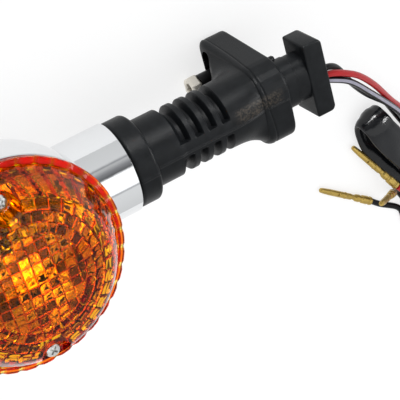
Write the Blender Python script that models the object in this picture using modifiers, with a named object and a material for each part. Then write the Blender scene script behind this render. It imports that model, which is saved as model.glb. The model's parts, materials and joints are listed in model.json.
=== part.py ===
"""Motorcycle turn signal lamp: chrome cup, amber lens, bayonet bulb, flexible rubber stem, flange and leads.

Metres, +Z up. The lamp lies on its back. +X runs along the stem from the lamp to the foot, +Y is the
lamp's upper side on the motorcycle, and +Z is the way the lens faces. The origin is under the middle of
the rigid parts, on the surface they rest on.
"""
import math

import bmesh
import bpy
from mathutils import Matrix, Vector

# ---- driving dimensions -------------------------------------------------------------------------
STEM_Z = 0.0345             # height of the stem's axis over the surface
LAMP_X = -0.05115           # place of the lens axis, from the origin
GAP = 0.0003                # clearance between pieces that touch

LENS_R = 0.039              # rim radius of the lens
LENS_RIM_Z = 0.0286         # underside of the lens rim, over the stem's axis
LENS_TOP_Z = 0.0475
SCREW_PITCH_R = 0.0295      # lens screws, from the lens axis
SCREW_X = -0.0010
SCREW_SEAT_Z = 0.0370

CUP_R = 0.0388
CUP_RIM_Z = 0.0270
CUP_SHOULDER_Z = 0.015      # where the cup starts to round in
CUP_WALL = 0.0016
NECK_R = 0.01725
NECK_BORE_R = 0.0154
NECK_END_X = 0.05425        # where the chrome meets the rubber

COLLAR_R = 0.0166
COLLAR_END_X = 0.0632
BARREL_R = 0.0131
BELLOWS_START_X = 0.0762
BELLOWS_END_X = 0.0954
RIB_R = 0.0127
GROOVE_R = 0.0100
RIB_PITCH = 0.0056
RIB_WIDTH = 0.0037

FLANGE_X = 0.1105           # face towards the lamp
FLANGE_BACK_X = 0.1220      # face towards the motorcycle
PLATE_X = 0.1332
PLATE_END_X = 0.1413
PLATE_HIGH_Y = 0.01415
PLATE_LOW_Y = -0.0160
PLATE_HALF_Z = 0.00735
NECK_HALF_Y = 0.0097        # oval neck between flange and plate
NECK_HALF_Z = 0.0071
NECK_SEAT = 0.0020          # depth of the seat in the flange that takes the neck
FLANGE_CORNERS = [          # outline of the flange: y, z, corner radius
    (0.0153, -STEM_Z, 0.0042), (0.0131, 0.0124, 0.0115), (-0.0182, 0.0096, 0.0080),
    (-0.0182, -0.0090, 0.0085), (-0.0070, -STEM_Z, 0.0035),
]
NUT_AT = (0.0, -0.0285)     # y, z of the bolt's axis in the flange's lobe
BOLT_R = 0.0033
NUT_SEAT_R = 0.0052
NUT_SHANK_R = 0.0040
LOBE_TOP_Z = -0.0190        # the lobe with the bolt is a piece of its own below this
RECESS_AT = (0.0068, -0.0262)
RECESS_R = 0.0055
RECESS_END_X = 0.1170
EXIT_Y = -0.0034            # the bore that the leads leave by
EXIT_Z = 0.0020

SOCKET_Z = -0.0195          # bottom of the bulb socket
PIN_Z = -0.0030             # bayonet pins
LEAD_R = 0.0011
TERMINAL_R = 0.0020
SLEEVE_HALF_WIDTH = 0.0066
SLEEVE_HALF_THICK = 0.0016

ROUND_STEPS = 40

# ---- free leads: points of each centre line, chosen by hand ------------------------------------
RED_ROUTE = [
    (0.0905, -0.0034, 0.0369), (0.0941, -0.0041, 0.0370), (0.1003, -0.0075, 0.0355),
    (0.1080, -0.0135, 0.0320), (0.1174, -0.0242, 0.0255), (0.1285, -0.0394, 0.0159),
    (0.1381, -0.0519, 0.0085), (0.1426, -0.0614, 0.0050), (0.1474, -0.0704, 0.0023),
    (0.1532, -0.0800, 0.0012), (0.1606, -0.0902, 0.0011), (0.1651, -0.0967, 0.0011),
    (0.1666, -0.1040, 0.0012), (0.1632, -0.1108, 0.0012), (0.1550, -0.1138, 0.0025),
    (0.1488, -0.1090, 0.0046), (0.1472, -0.1019, 0.0053), (0.1450, -0.0974, 0.0057),
]
BLACK_ROUTE = [
    (0.0905, -0.0011, 0.0365), (0.0945, -0.0020, 0.0351), (0.0995, -0.0062, 0.0320),
    (0.1072, -0.0180, 0.0262), (0.1192, -0.0326, 0.0145), (0.1308, -0.0425, 0.0065),
    (0.1344, -0.0493, 0.0032), (0.1389, -0.0579, 0.0013), (0.1441, -0.0691, 0.0011),
    (0.1500, -0.0800, 0.0011), (0.1574, -0.0908, 0.0011), (0.1623, -0.0970, 0.0011),
    (0.1640, -0.1039, 0.0011), (0.1610, -0.1092, 0.0013), (0.1554, -0.1107, 0.0031),
    (0.1514, -0.1081, 0.0040), (0.1494, -0.1008, 0.0053), (0.1472, -0.0963, 0.0057),
]
TRACER_ROUTE = [
    (0.0905, -0.0057, 0.0365), (0.0939, -0.0070, 0.0362), (0.1022, -0.0124, 0.0343),
    (0.1134, -0.0248, 0.0274), (0.1300, -0.0445, 0.0155), (0.1372, -0.0553, 0.0081),
    (0.1392, -0.0621, 0.0040), (0.1416, -0.0700, 0.0015), (0.1475, -0.0806, 0.0011),
    (0.1543, -0.0916, 0.0012), (0.1596, -0.0975, 0.0013), (0.1614, -0.1032, 0.0012),
    (0.1597, -0.1069, 0.0021), (0.1564, -0.1079, 0.0039), (0.1534, -0.1056, 0.0053),
    (0.1517, -0.0997, 0.0053), (0.1495, -0.0952, 0.0057),
]
RED_TAIL = [
    (0.1449, -0.0984, 0.0018), (0.1473, -0.1016, 0.0014), (0.1472, -0.1065, 0.0014),
    (0.1424, -0.1097, 0.0022), (0.1346, -0.1058, 0.0039), (0.1336, -0.0957, 0.0051),
    (0.1321, -0.0905, 0.0068), (0.1277, -0.0842, 0.0079),
]
BLACK_TAIL = [
    (0.1469, -0.0969, 0.0018), (0.1499, -0.1009, 0.0013), (0.1498, -0.1079, 0.0011),
    (0.1429, -0.1123, 0.0011), (0.1359, -0.1089, 0.0011), (0.1339, -0.1029, 0.0011),
    (0.1335, -0.0970, 0.0011), (0.1318, -0.0925, 0.0013), (0.1295, -0.0901, 0.0024),
    (0.1273, -0.0886, 0.0042),
]
TRACER_TAIL = [
    (0.1490, -0.0954, 0.0018), (0.1519, -0.0994, 0.0013), (0.1531, -0.1089, 0.0011),
    (0.1428, -0.1155, 0.0012), (0.1357, -0.1125, 0.0011), (0.1317, -0.1067, 0.0011),
    (0.1300, -0.0990, 0.0011), (0.1215, -0.0925, 0.0013), (0.1172, -0.0885, 0.0017),
]
SLEEVE_ROUTE = [
    (0.1469, -0.0956, 0.0057), (0.1420, -0.0855, 0.0062), (0.1368, -0.0745, 0.0076),
    (0.1318, -0.0640, 0.0094), (0.1279, -0.0560, 0.0105), (0.1263, -0.0516, 0.0103),
    (0.1252, -0.0486, 0.0084), (0.12485, -0.0477, 0.0061), (0.12485, -0.0486, 0.0038),
    (0.12485, -0.0515, 0.0021), (0.1250, -0.0560, 0.00175), (0.1262, -0.0630, 0.00175),
    (0.1310, -0.0740, 0.00175), (0.1385, -0.0855, 0.00175), (0.1465, -0.0963, 0.00175),
]
SLEEVE_WIDTH_AXIS = (0.92, 0.39, 0.0)
# terminal name: nose, tail end
TERMINALS = {
    "terminal_red": ((0.11425, -0.0600, 0.0021), (0.12745, -0.08375, 0.0078)),
    "terminal_tracer": ((0.09495, -0.0712, 0.0021), (0.11685, -0.0882, 0.0021)),
    "terminal_black": ((0.10975, -0.0771, 0.0234), (0.12695, -0.0884, 0.0045)),
}

# ---- captive leads, in the stem's frame: from the socket through the stem to the foot ----------
RED_CORE = [
    (-0.0026, 0.0, -0.0202), (-0.0020, 0.0, -0.0240), (0.0040, 0.0, -0.0255), (0.0130, 0.0, -0.0195),
    (0.0220, 0.0, -0.0095), (0.0330, 0.0, -0.0015), (0.0480, 0.0, 0.0), (0.0950, 0.0, 0.0),
    (0.1030, -0.0018, 0.0012), (0.1110, -0.0034, 0.0024), (0.1410, -0.0034, 0.0024),
]
TRACER_CORE = [
    (0.0026, -0.0032, -0.0205), (0.0036, -0.0036, -0.0235), (0.0085, -0.0038, -0.0235),
    (0.0150, -0.0038, -0.0170), (0.0240, -0.0034, -0.0060), (0.0350, -0.0026, -0.0005),
    (0.0480, -0.0025, 0.0), (0.0950, -0.0025, 0.0), (0.1030, -0.0042, 0.0010),
    (0.1110, -0.0057, 0.0020), (0.1410, -0.0057, 0.0020),
]
BLACK_CORE = [
    (0.0103, 0.0036, -0.0050), (0.0125, 0.0036, -0.0060), (0.0180, 0.0034, -0.0060),
    (0.0260, 0.0030, -0.0025), (0.0360, 0.0026, 0.0), (0.0480, 0.0025, 0.0), (0.0950, 0.0025, 0.0),
    (0.1030, 0.0007, 0.0010), (0.1110, -0.0011, 0.0020), (0.1410, -0.0011, 0.0020),
]

# ---- materials: colour, roughness, metallic ----------------------------------------------------
FINISHES = {
    "amber": ((0.75, 0.22, 0.02, 1.0), 0.12, 0.0),
    "chrome": ((0.80, 0.81, 0.82, 1.0), 0.08, 1.0),
    "rubber": ((0.020, 0.022, 0.024, 1.0), 0.55, 0.0),
    "steel": ((0.62, 0.62, 0.60, 1.0), 0.30, 1.0),
    "brass": ((0.62, 0.47, 0.20, 1.0), 0.35, 1.0),
    "reflector": ((0.85, 0.85, 0.83, 1.0), 0.15, 1.0),
    "fibre": ((0.20, 0.10, 0.05, 1.0), 0.70, 0.0),
    "glass": ((0.90, 0.92, 0.92, 1.0), 0.05, 0.0),
    "tungsten": ((0.30, 0.30, 0.32, 1.0), 0.40, 1.0),
    "lead_red": ((0.50, 0.01, 0.01, 1.0), 0.40, 0.0),
    "lead_black": ((0.012, 0.012, 0.014, 1.0), 0.40, 0.0),
    "lead_tracer": ((0.03, 0.03, 0.035, 1.0), 0.40, 0.0),
    "sleeve": ((0.025, 0.026, 0.028, 1.0), 0.35, 0.0),
}


def clear_scene():
    """Remove every object that the file starts with."""
    for old in list(bpy.data.objects):
        bpy.data.objects.remove(old, do_unlink=True)


def collection(name):
    found = bpy.data.collections.get(name) or bpy.data.collections.new(name)
    if name not in bpy.context.scene.collection.children:
        bpy.context.scene.collection.children.link(found)
    return found


def finish(name):
    """The Principled material of one finish."""
    found = bpy.data.materials.get(name)
    if found:
        return found
    colour, roughness, metallic = FINISHES[name]
    made = bpy.data.materials.new(name)
    made.use_nodes = True
    shader = made.node_tree.nodes["Principled BSDF"]
    shader.inputs["Base Color"].default_value = colour
    shader.inputs["Roughness"].default_value = roughness
    shader.inputs["Metallic"].default_value = metallic
    return made


def add_object(name, mesh, parts):
    """Link a mesh as an object under the stem's empty."""
    made = bpy.data.objects.new(name, mesh)
    collection("turn_signal").objects.link(made)
    made.parent = parts["frame"]
    return made


def baked(source, name, parts):
    """A plain mesh object with the evaluated shape of another, which is removed."""
    bpy.context.view_layer.update()
    graph = bpy.context.evaluated_depsgraph_get()
    mesh = bpy.data.meshes.new_from_object(source.evaluated_get(graph))
    local = parts["frame"].matrix_world.inverted() @ source.matrix_world
    mesh.transform(local)
    work = bmesh.new()
    work.from_mesh(mesh)
    bmesh.ops.remove_doubles(work, verts=work.verts, dist=1e-6)
    work.to_mesh(mesh)
    work.free()
    bpy.data.objects.remove(source, do_unlink=True)
    return add_object(name, mesh, parts)


def turned(name, profile, parts, along="Z", at=(0, 0, 0), steps=ROUND_STEPS):
    """A turned solid: profile points (radius, height) run down the outer side, top to bottom."""
    mesh = bpy.data.meshes.new(name)
    points = [(radius, 0.0, height) for radius, height in profile]
    open_on_axis = profile[0][0] == 0 and profile[-1][0] == 0
    edges = [(i, i + 1) for i in range(len(points) - 1)]
    if not open_on_axis:
        edges.append((len(points) - 1, 0))
    mesh.from_pydata(points, edges, [])
    made = add_object(name, mesh, parts)
    screw = made.modifiers.new("turn", "SCREW")
    screw.steps = steps
    screw.render_steps = steps
    screw.use_merge_vertices = True
    screw.merge_threshold = 0.00001
    screw.use_normal_calculate = False
    made.location = at
    if along == "X":
        made.rotation_euler = (0.0, math.radians(90), 0.0)
    return baked(made, name, parts)


def drum(name, radius, start, end, parts, at=(0.0, 0.0), along="Z", steps=ROUND_STEPS):
    """A plain cylinder between two places on its axis; at is the other two coordinates."""
    place = (at[0], at[1], 0.0) if along == "Z" else (0.0, at[0], at[1])
    return turned(name, [(0, end), (radius, end), (radius, start), (0, start)], parts, along, place, steps)


def block(name, low, high, parts):
    """A box between two corners."""
    mesh = bpy.data.meshes.new(name)
    work = bmesh.new()
    size = Vector(high) - Vector(low)
    middle = (Vector(high) + Vector(low)) / 2
    bmesh.ops.create_cube(work, size=1.0, matrix=Matrix.Translation(middle) @ Matrix.Diagonal((*size, 1.0)))
    work.to_mesh(mesh)
    work.free()
    return add_object(name, mesh, parts)


def combine(target, tools, operation, parts):
    """Boolean each tool into the target, then bake the result and drop the tools."""
    for tool in tools:
        step = target.modifiers.new("cut", "BOOLEAN")
        step.operation = operation
        step.solver = "EXACT"
        step.object = tool
    name = target.name
    target.name = name + "_before"
    made = baked(target, name, parts)
    for tool in tools:
        bpy.data.objects.remove(tool, do_unlink=True)
    return made


def dress(target, material):
    """Give a finished piece its material and smooth its round sides."""
    target.data.materials.clear()
    target.data.materials.append(finish(material))
    target.data.shade_smooth()
    target.data.set_sharp_from_angle(angle=math.radians(35))
    return target


def smooth_route(points, spacing):
    """Points along a smooth curve through the route's own points, evenly spaced."""
    route = [Vector(point) for point in points]
    ends = [route[0] * 2 - route[1]] + route + [route[-1] * 2 - route[-2]]
    dense = []
    for before, start, end, after in zip(ends, ends[1:], ends[2:], ends[3:]):
        for step in range(24):
            t = step / 24
            dense.append(0.5 * (2 * start + (end - before) * t
                                + (2 * before - 5 * start + 4 * end - after) * t * t
                                + (3 * start - before - 3 * end + after) * t ** 3))
    dense.append(route[-1])
    lengths = [0.0]
    for one, two in zip(dense, dense[1:]):
        lengths.append(lengths[-1] + (two - one).length)
    count = max(2, round(lengths[-1] / spacing))
    made = []
    index = 0
    for step in range(count + 1):
        wanted = lengths[-1] * step / count
        while index < len(dense) - 2 and lengths[index + 1] < wanted:
            index += 1
        part = (wanted - lengths[index]) / (lengths[index + 1] - lengths[index])
        made.append(dense[index].lerp(dense[index + 1], min(1.0, part)))
    return made


def wire(name, points, radius, parts, in_world=False):
    """A round wire along straight runs between close points, with closed ends."""
    curve = bpy.data.curves.new(name, "CURVE")
    curve.dimensions = "3D"
    curve.bevel_depth = radius
    curve.bevel_resolution = 2
    curve.use_fill_caps = True
    spline = curve.splines.new("POLY")
    spline.points.add(len(points) - 1)
    for place, point in zip(spline.points, points):
        place.co = (*point, 1.0)
    made = add_object(name + "_curve", curve, parts)
    if in_world:
        made.parent = None
    return baked(made, name, parts)


# ---- lamp head ---------------------------------------------------------------------------------
def cup_profile(radius, rim, tip, flat):
    """The cup's outer side, from the rim to a small flat at the tip."""
    profile = [(radius, rim), (radius, CUP_SHOULDER_Z)]
    depth = CUP_SHOULDER_Z - tip
    for step in range(1, 13):
        part = (step / 13) ** 0.8
        side = radius * (1 - part ** 1.7) ** 0.8
        profile.append((max(side, flat), CUP_SHOULDER_Z - depth * part))
    profile.append((flat, tip))
    profile.append((0, tip))
    return profile


def make_housing(parts):
    """Chrome cup with its side neck, screw posts, and the hole of the neck's screw."""
    tip = -STEM_Z
    body = turned("housing", [(0, CUP_RIM_Z)] + cup_profile(CUP_R, CUP_RIM_Z, tip, 0.0030), parts)
    neck = drum("neck", NECK_R, 0.018, NECK_END_X, parts, along="X")
    body = combine(body, [neck], "UNION", parts)
    hollow_top = CUP_RIM_Z + 0.002
    hollow = turned("hollow", [(0, hollow_top)] + cup_profile(
        CUP_R - CUP_WALL, hollow_top, tip + CUP_WALL, 0.0020), parts)
    bore = drum("neck_bore", NECK_BORE_R, 0.012, NECK_END_X + 0.01, parts, along="X")
    body = combine(body, [hollow, bore], "DIFFERENCE", parts)
    posts = []
    pilots = []
    for side in (1, -1):
        at = (SCREW_X, side * SCREW_PITCH_R)
        posts.append(drum("post", 0.0034, 0.004, 0.0150, parts, at, steps=24))
        inner, outer = sorted((side * 0.0318, side * (CUP_R - CUP_WALL / 2)))
        posts.append(block("web", (SCREW_X - 0.0012, inner, 0.0045), (SCREW_X + 0.0012, outer, 0.0145),
                           parts))
        pilots.append(drum("pilot", 0.00175, 0.0075, 0.03, parts, at, steps=24))
    body = combine(body, posts, "UNION", parts)
    pilots.append(turned("screw_hole", [(0, -0.012), (0.0021, -0.012), (0.0021, -0.022), (0, -0.022)],
                         parts, at=(0.047, 0, 0), steps=24))
    return dress(combine(body, pilots, "DIFFERENCE", parts), "chrome")


def lens_side(inset):
    """Half outline of the lens dome, from the middle to the rim; inset thins it for the inside."""
    outer = [
        (0, LENS_TOP_Z), (0.010, 0.0471), (0.019, 0.0460), (0.025, 0.0446), (0.0282, 0.0432),
        (0.0300, 0.0414), (0.0322, 0.0384), (0.0346, 0.0342), (0.0360, 0.0318),
    ]
    if not inset:
        return outer
    return [(max(0, radius - inset * (0.0 if radius < 0.02 else 0.9)),
             height - inset * (1.0 if radius < 0.029 else 0.45)) for radius, height in outer]


def make_lens(parts):
    """Amber lens: rim, dome, and two screw wells with their posts."""
    rim_top = LENS_RIM_Z + 0.0021
    outline = lens_side(0) + [(0.0366, rim_top), (0.0386, rim_top), (LENS_R, rim_top - 0.0005),
                              (LENS_R, LENS_RIM_Z), (0, LENS_RIM_Z)]
    body = turned("lens", outline, parts, steps=48)
    hollow = turned("lens_hollow", lens_side(0.0021) + [(0.0345, LENS_RIM_Z - 0.001),
                                                        (0, LENS_RIM_Z - 0.001)], parts, steps=48)
    posts = [drum("post", 0.0066, 0.0335, 0.06, parts, (SCREW_X, side * SCREW_PITCH_R), steps=24)
             for side in (1, -1)]
    hollow = combine(hollow, posts, "DIFFERENCE", parts)
    body = combine(body, [hollow], "DIFFERENCE", parts)
    wells = []
    for side in (1, -1):
        place = (SCREW_X, side * SCREW_PITCH_R, 0.0)
        profile = [(0, 0.06), (0.0062, 0.06), (0.0056, 0.0435), (0.0042, SCREW_SEAT_Z + 0.0006),
                   (0.0035, SCREW_SEAT_Z), (0.0019, SCREW_SEAT_Z), (0.0019, 0.03), (0, 0.03)]
        wells.append(turned("well", profile, parts, at=place, steps=24))
    return dress(combine(body, wells, "DIFFERENCE", parts), "amber")


def make_gasket(parts):
    low = CUP_RIM_Z + GAP
    high = LENS_RIM_Z - GAP
    ring = turned("lens_gasket", [(0.0384, high), (0.0384, low), (0.0352, low), (0.0352, high)], parts)
    return dress(ring, "rubber")


def make_lens_screws(parts):
    """Long pan-head screws with a cross recess, through the lens into the cup's posts."""
    seat = SCREW_SEAT_Z + GAP
    for name, side in (("lens_screw_upper", 1), ("lens_screw_lower", -1)):
        place = (SCREW_X, side * SCREW_PITCH_R, 0.0)
        screw = turned(name, [(0, seat + 0.0023), (0.0014, seat + 0.0022), (0.0024, seat + 0.0017),
                              (0.0029, seat + 0.0008), (0.0029, seat), (0.0014, seat), (0.0014, 0.0085),
                              (0, 0.0079)], parts, at=place, steps=24)
        bars = []
        for turn in (0, 90):
            bar = block("bar", (-0.0016, -0.00035, seat + 0.0009), (0.0016, 0.00035, seat + 0.004), parts)
            bar.location = place
            bar.rotation_euler = (0, 0, math.radians(45 + turn))
            bars.append(bar)
        dress(combine(screw, bars, "DIFFERENCE", parts), "steel")


def make_reflector(parts):
    """Bright dish inside the cup, with holes for the socket and the lens screws."""
    thick = 0.0008
    base = 0.0061
    face = []
    for step in range(7):
        radius = 0.0125 + (0.0335 - 0.0125) * step / 6
        face.append((radius, base + 0.0195 * (step / 6) ** 1.6))
    top = list(reversed(face))
    profile = [(0.0362, top[0][1] + thick), (0.0362, top[0][1])] + top + [(0.0090, base)]
    profile += [(0.0090, base + thick)] + [(radius, height + thick) for radius, height in face]
    dish = turned("reflector", profile, parts, steps=32)
    holes = [drum("hole", 0.0022, 0.01, 0.03, parts, (SCREW_X, side * SCREW_PITCH_R), steps=24)
             for side in (1, -1)]
    return dress(combine(dish, holes, "DIFFERENCE", parts), "reflector")


# ---- bulb and socket ---------------------------------------------------------------------------
def make_socket(parts):
    """Bayonet socket: slotted shell, fibre floor, sprung contact disc, and two contacts."""
    shell = turned("socket_shell", [(0.0108, 0.0058), (0.0108, 0.0049), (0.0084, 0.0049), (0.0084, SOCKET_Z),
                                    (0.0077, SOCKET_Z), (0.0077, 0.0058)], parts, steps=24)
    slots = []
    for turn in (0, 180):
        for low, high, bottom, top in ((-11, 31, PIN_Z - 0.0030, PIN_Z + 0.0013),
                                       (11, 31, PIN_Z - 0.0030, 0.010)):
            slots.append(wedge("slot", low + turn, high + turn, 0.006, 0.0125, bottom, top, parts))
    dress(combine(shell, slots, "DIFFERENCE", parts), "steel")
    floor = turned("socket_floor", [(0.0074, SOCKET_Z + 0.0022), (0.0074, SOCKET_Z + GAP),
                                    (0.0012, SOCKET_Z + GAP), (0.0012, SOCKET_Z + 0.0022)], parts, steps=24)
    dress(floor, "fibre")
    disc_low = PIN_Z - 0.0082
    disc = drum("contact_disc", 0.0073, disc_low, disc_low + 0.0018, parts, steps=24)
    holes = [drum("hole", 0.0011, disc_low - 0.01, disc_low + 0.01, parts, (side * 0.0030, 0.0), steps=16)
             for side in (1, -1)]
    dress(combine(disc, holes, "DIFFERENCE", parts), "fibre")
    for name, side in (("contact_left", -1), ("contact_right", 1)):
        seat = disc_low + 0.0018 + GAP
        contact = turned(name, [(0, seat + 0.0009), (0.0012, seat + 0.0007), (0.0017, seat), (0.0008, seat),
                                (0.0008, disc_low - 0.0004), (0, disc_low - 0.0004)],
                         parts, at=(side * 0.0030, 0, 0), steps=14)
        dress(contact, "brass")
    spring_low = SOCKET_Z + 0.0022 + 0.0009
    spring_high = disc_low - 0.0009
    turns = 2.5
    steps = 30
    coil = []
    for step in range(steps + 1):
        angle = math.tau * turns * step / steps
        height = spring_low + (spring_high - spring_low) * step / steps
        coil.append((0.0056 * math.cos(angle), 0.0056 * math.sin(angle), height))
    dress(wire("contact_spring", coil, 0.0003, parts), "steel")


def wedge(name, low, high, inner, outer, bottom, top, parts):
    """A curved block between two angles and two radii about Z, used to cut slots."""
    work = bmesh.new()
    rings = []
    steps = 6
    for step in range(steps + 1):
        angle = math.radians(low + (high - low) * step / steps)
        side = Vector((math.cos(angle), math.sin(angle), 0))
        rings.append([work.verts.new(side * radius + Vector((0, 0, height)))
                      for radius, height in ((inner, bottom), (outer, bottom), (outer, top), (inner, top))])
    for one, two in zip(rings, rings[1:]):
        for index in range(4):
            after = (index + 1) % 4
            work.faces.new((one[index], one[after], two[after], two[index]))
    work.faces.new(reversed(rings[0]))
    work.faces.new(rings[-1])
    bmesh.ops.recalc_face_normals(work, faces=work.faces)
    mesh = bpy.data.meshes.new(name)
    work.to_mesh(mesh)
    work.free()
    return add_object(name, mesh, parts)


def make_bulb(parts):
    """Two-filament bulb: brass base with bayonet pins, glass envelope, and the filament mount."""
    low = PIN_Z - 0.0047
    base = turned("bulb_base", [(0, PIN_Z + 0.0010), (0.0064, PIN_Z + 0.0010), (0.0064, PIN_Z + 0.0075),
                                (0.0073, PIN_Z + 0.0075), (0.0073, low + 0.0012), (0.0062, low), (0, low)],
                  parts, steps=24)
    pins = [drum("pin", 0.0009, 0.0, 0.0091, parts, (0, 0), along="X", steps=16) for _ in (0, 1)]
    for pin, turn in zip(pins, (0, 180)):
        pin.rotation_euler = (0, 0, math.radians(turn))
        pin.location = (0, 0, PIN_Z)
    base = combine(base, pins, "UNION", parts)
    dress(base, "brass")
    neck = PIN_Z + 0.0010 + GAP
    glass = turned("bulb_glass", [
        (0, neck + 0.0385), (0.0055, neck + 0.0375), (0.0095, neck + 0.0345), (0.0119, neck + 0.0300),
        (0.0125, neck + 0.0255), (0.0118, neck + 0.0205), (0.0098, neck + 0.0155), (0.0075, neck + 0.0110),
        (0.0060, neck + 0.0070), (0.0058, neck), (0.0050, neck), (0.0052, neck + 0.0070),
        (0.0067, neck + 0.0112), (0.0090, neck + 0.0158), (0.0110, neck + 0.0207), (0.0117, neck + 0.0255),
        (0.0111, neck + 0.0298), (0.0088, neck + 0.0339), (0.0050, neck + 0.0366), (0, neck + 0.0376),
    ], parts, steps=24)
    dress(glass, "glass")
    stem = drum("filament_mount", 0.0034, neck + GAP, neck + 0.0080, parts, steps=16)
    wires = []
    for side in (-1, 1):
        path = [(side * 0.0018, 0.0, neck + 0.0070), (side * 0.0030, 0.0, neck + 0.0150),
                (side * 0.0045, 0.0, neck + 0.0230), (side * 0.0042, 0.0, neck + 0.0245),
                (side * 0.0010, 0.0, neck + 0.0250)]
        wires.append(wire("filament_wire", path, 0.00035, parts))
    wires.append(wire("filament", [(-0.0016, 0, neck + 0.0250), (0.0016, 0, neck + 0.0250)], 0.0006, parts))
    dress(combine(stem, wires, "UNION", parts), "tungsten")


# ---- rubber stem -------------------------------------------------------------------------------
def make_collar(parts):
    """Rubber spigot in the neck, collar against the chrome, and the plain barrel."""
    profile = [
        (BARREL_R, BELLOWS_START_X - GAP), (BARREL_R, COLLAR_END_X + 0.0006),
        (COLLAR_R - 0.0016, COLLAR_END_X),
        (COLLAR_R - 0.0004, COLLAR_END_X - 0.0008), (COLLAR_R, COLLAR_END_X - 0.0022),
        (COLLAR_R, NECK_END_X + GAP), (NECK_BORE_R - GAP, NECK_END_X + GAP), (NECK_BORE_R - GAP, 0.0420),
        (0.0095, 0.0420), (0.0095, 0.0640), (0.0062, 0.0640), (0.0062, BELLOWS_START_X - GAP),
    ]
    collar = turned("boot_collar", profile, parts, along="X")
    hole = turned("screw_hole", [(0, -0.0090), (0.0019, -0.0090), (0.0019, -0.022), (0, -0.022)], parts,
                  at=(0.047, 0, 0), steps=24)
    dress(combine(collar, [hole], "DIFFERENCE", parts), "rubber")
    insert = turned("neck_insert", [(0.0092, 0.0636), (0.0092, 0.0423), (0.0084, 0.0423), (0.0084, 0.0636)],
                    parts, along="X", steps=36)
    dress(insert, "steel")
    head = -NECK_R - GAP
    screw = turned("neck_screw", [(0, -0.0098), (0.0015, -0.0098), (0.0015, head), (0.0033, head),
                                  (0.0033, head - 0.0008), (0.0024, head - 0.0018), (0, head - 0.0021)],
                   parts, at=(0.047, 0, 0), steps=24)
    dress(screw, "steel")


def make_bellows(parts):
    """The ribbed stretch of the stem that bends."""
    groove = (RIB_PITCH - RIB_WIDTH) / 2
    centre = (BELLOWS_START_X + BELLOWS_END_X) / 2
    outer = [(0.0125, BELLOWS_END_X), (0.0125, BELLOWS_END_X - 0.0002)]
    for index in (1, 0, -1):
        rib = centre + index * RIB_PITCH
        half = RIB_WIDTH / 2
        outer += [(GROOVE_R, rib + half + groove * 1.6), (GROOVE_R, rib + half + 0.0002),
                  (RIB_R - 0.0007, rib + half - 0.0001), (RIB_R, rib + half - 0.0009),
                  (RIB_R, rib - half + 0.0009), (RIB_R - 0.0007, rib - half + 0.0001)]
    outer += [(GROOVE_R, centre - RIB_PITCH - RIB_WIDTH / 2 - 0.0002),
              (GROOVE_R, BELLOWS_START_X + 0.0004), (0.0125, BELLOWS_START_X + 0.0002),
              (0.0125, BELLOWS_START_X), (0.0064, BELLOWS_START_X), (0.0064, BELLOWS_END_X)]
    return dress(turned("bellows", outer, parts, along="X", steps=32), "rubber")


def rounded_outline(corners, steps=5):
    """Points of a convex outline whose corners (y, z, radius) are rounded by arcs."""
    made = []
    count = len(corners)
    for index, (y, z, radius) in enumerate(corners):
        here = Vector((y, z))
        back = (Vector(corners[index - 1][:2]) - here).normalized()
        ahead = (Vector(corners[(index + 1) % count][:2]) - here).normalized()
        half = back.angle(ahead) / 2
        middle = here + (back + ahead).normalized() * (radius / math.sin(half))
        start = here + back * (radius / math.tan(half)) - middle
        end = here + ahead * (radius / math.tan(half)) - middle
        first = math.atan2(start.y, start.x)
        sweep = (math.atan2(end.y, end.x) - first + math.pi) % math.tau - math.pi
        for step in range(steps + 1):
            angle = first + sweep * step / steps
            made.append(middle + radius * Vector((math.cos(angle), math.sin(angle))))
    return made


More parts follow.
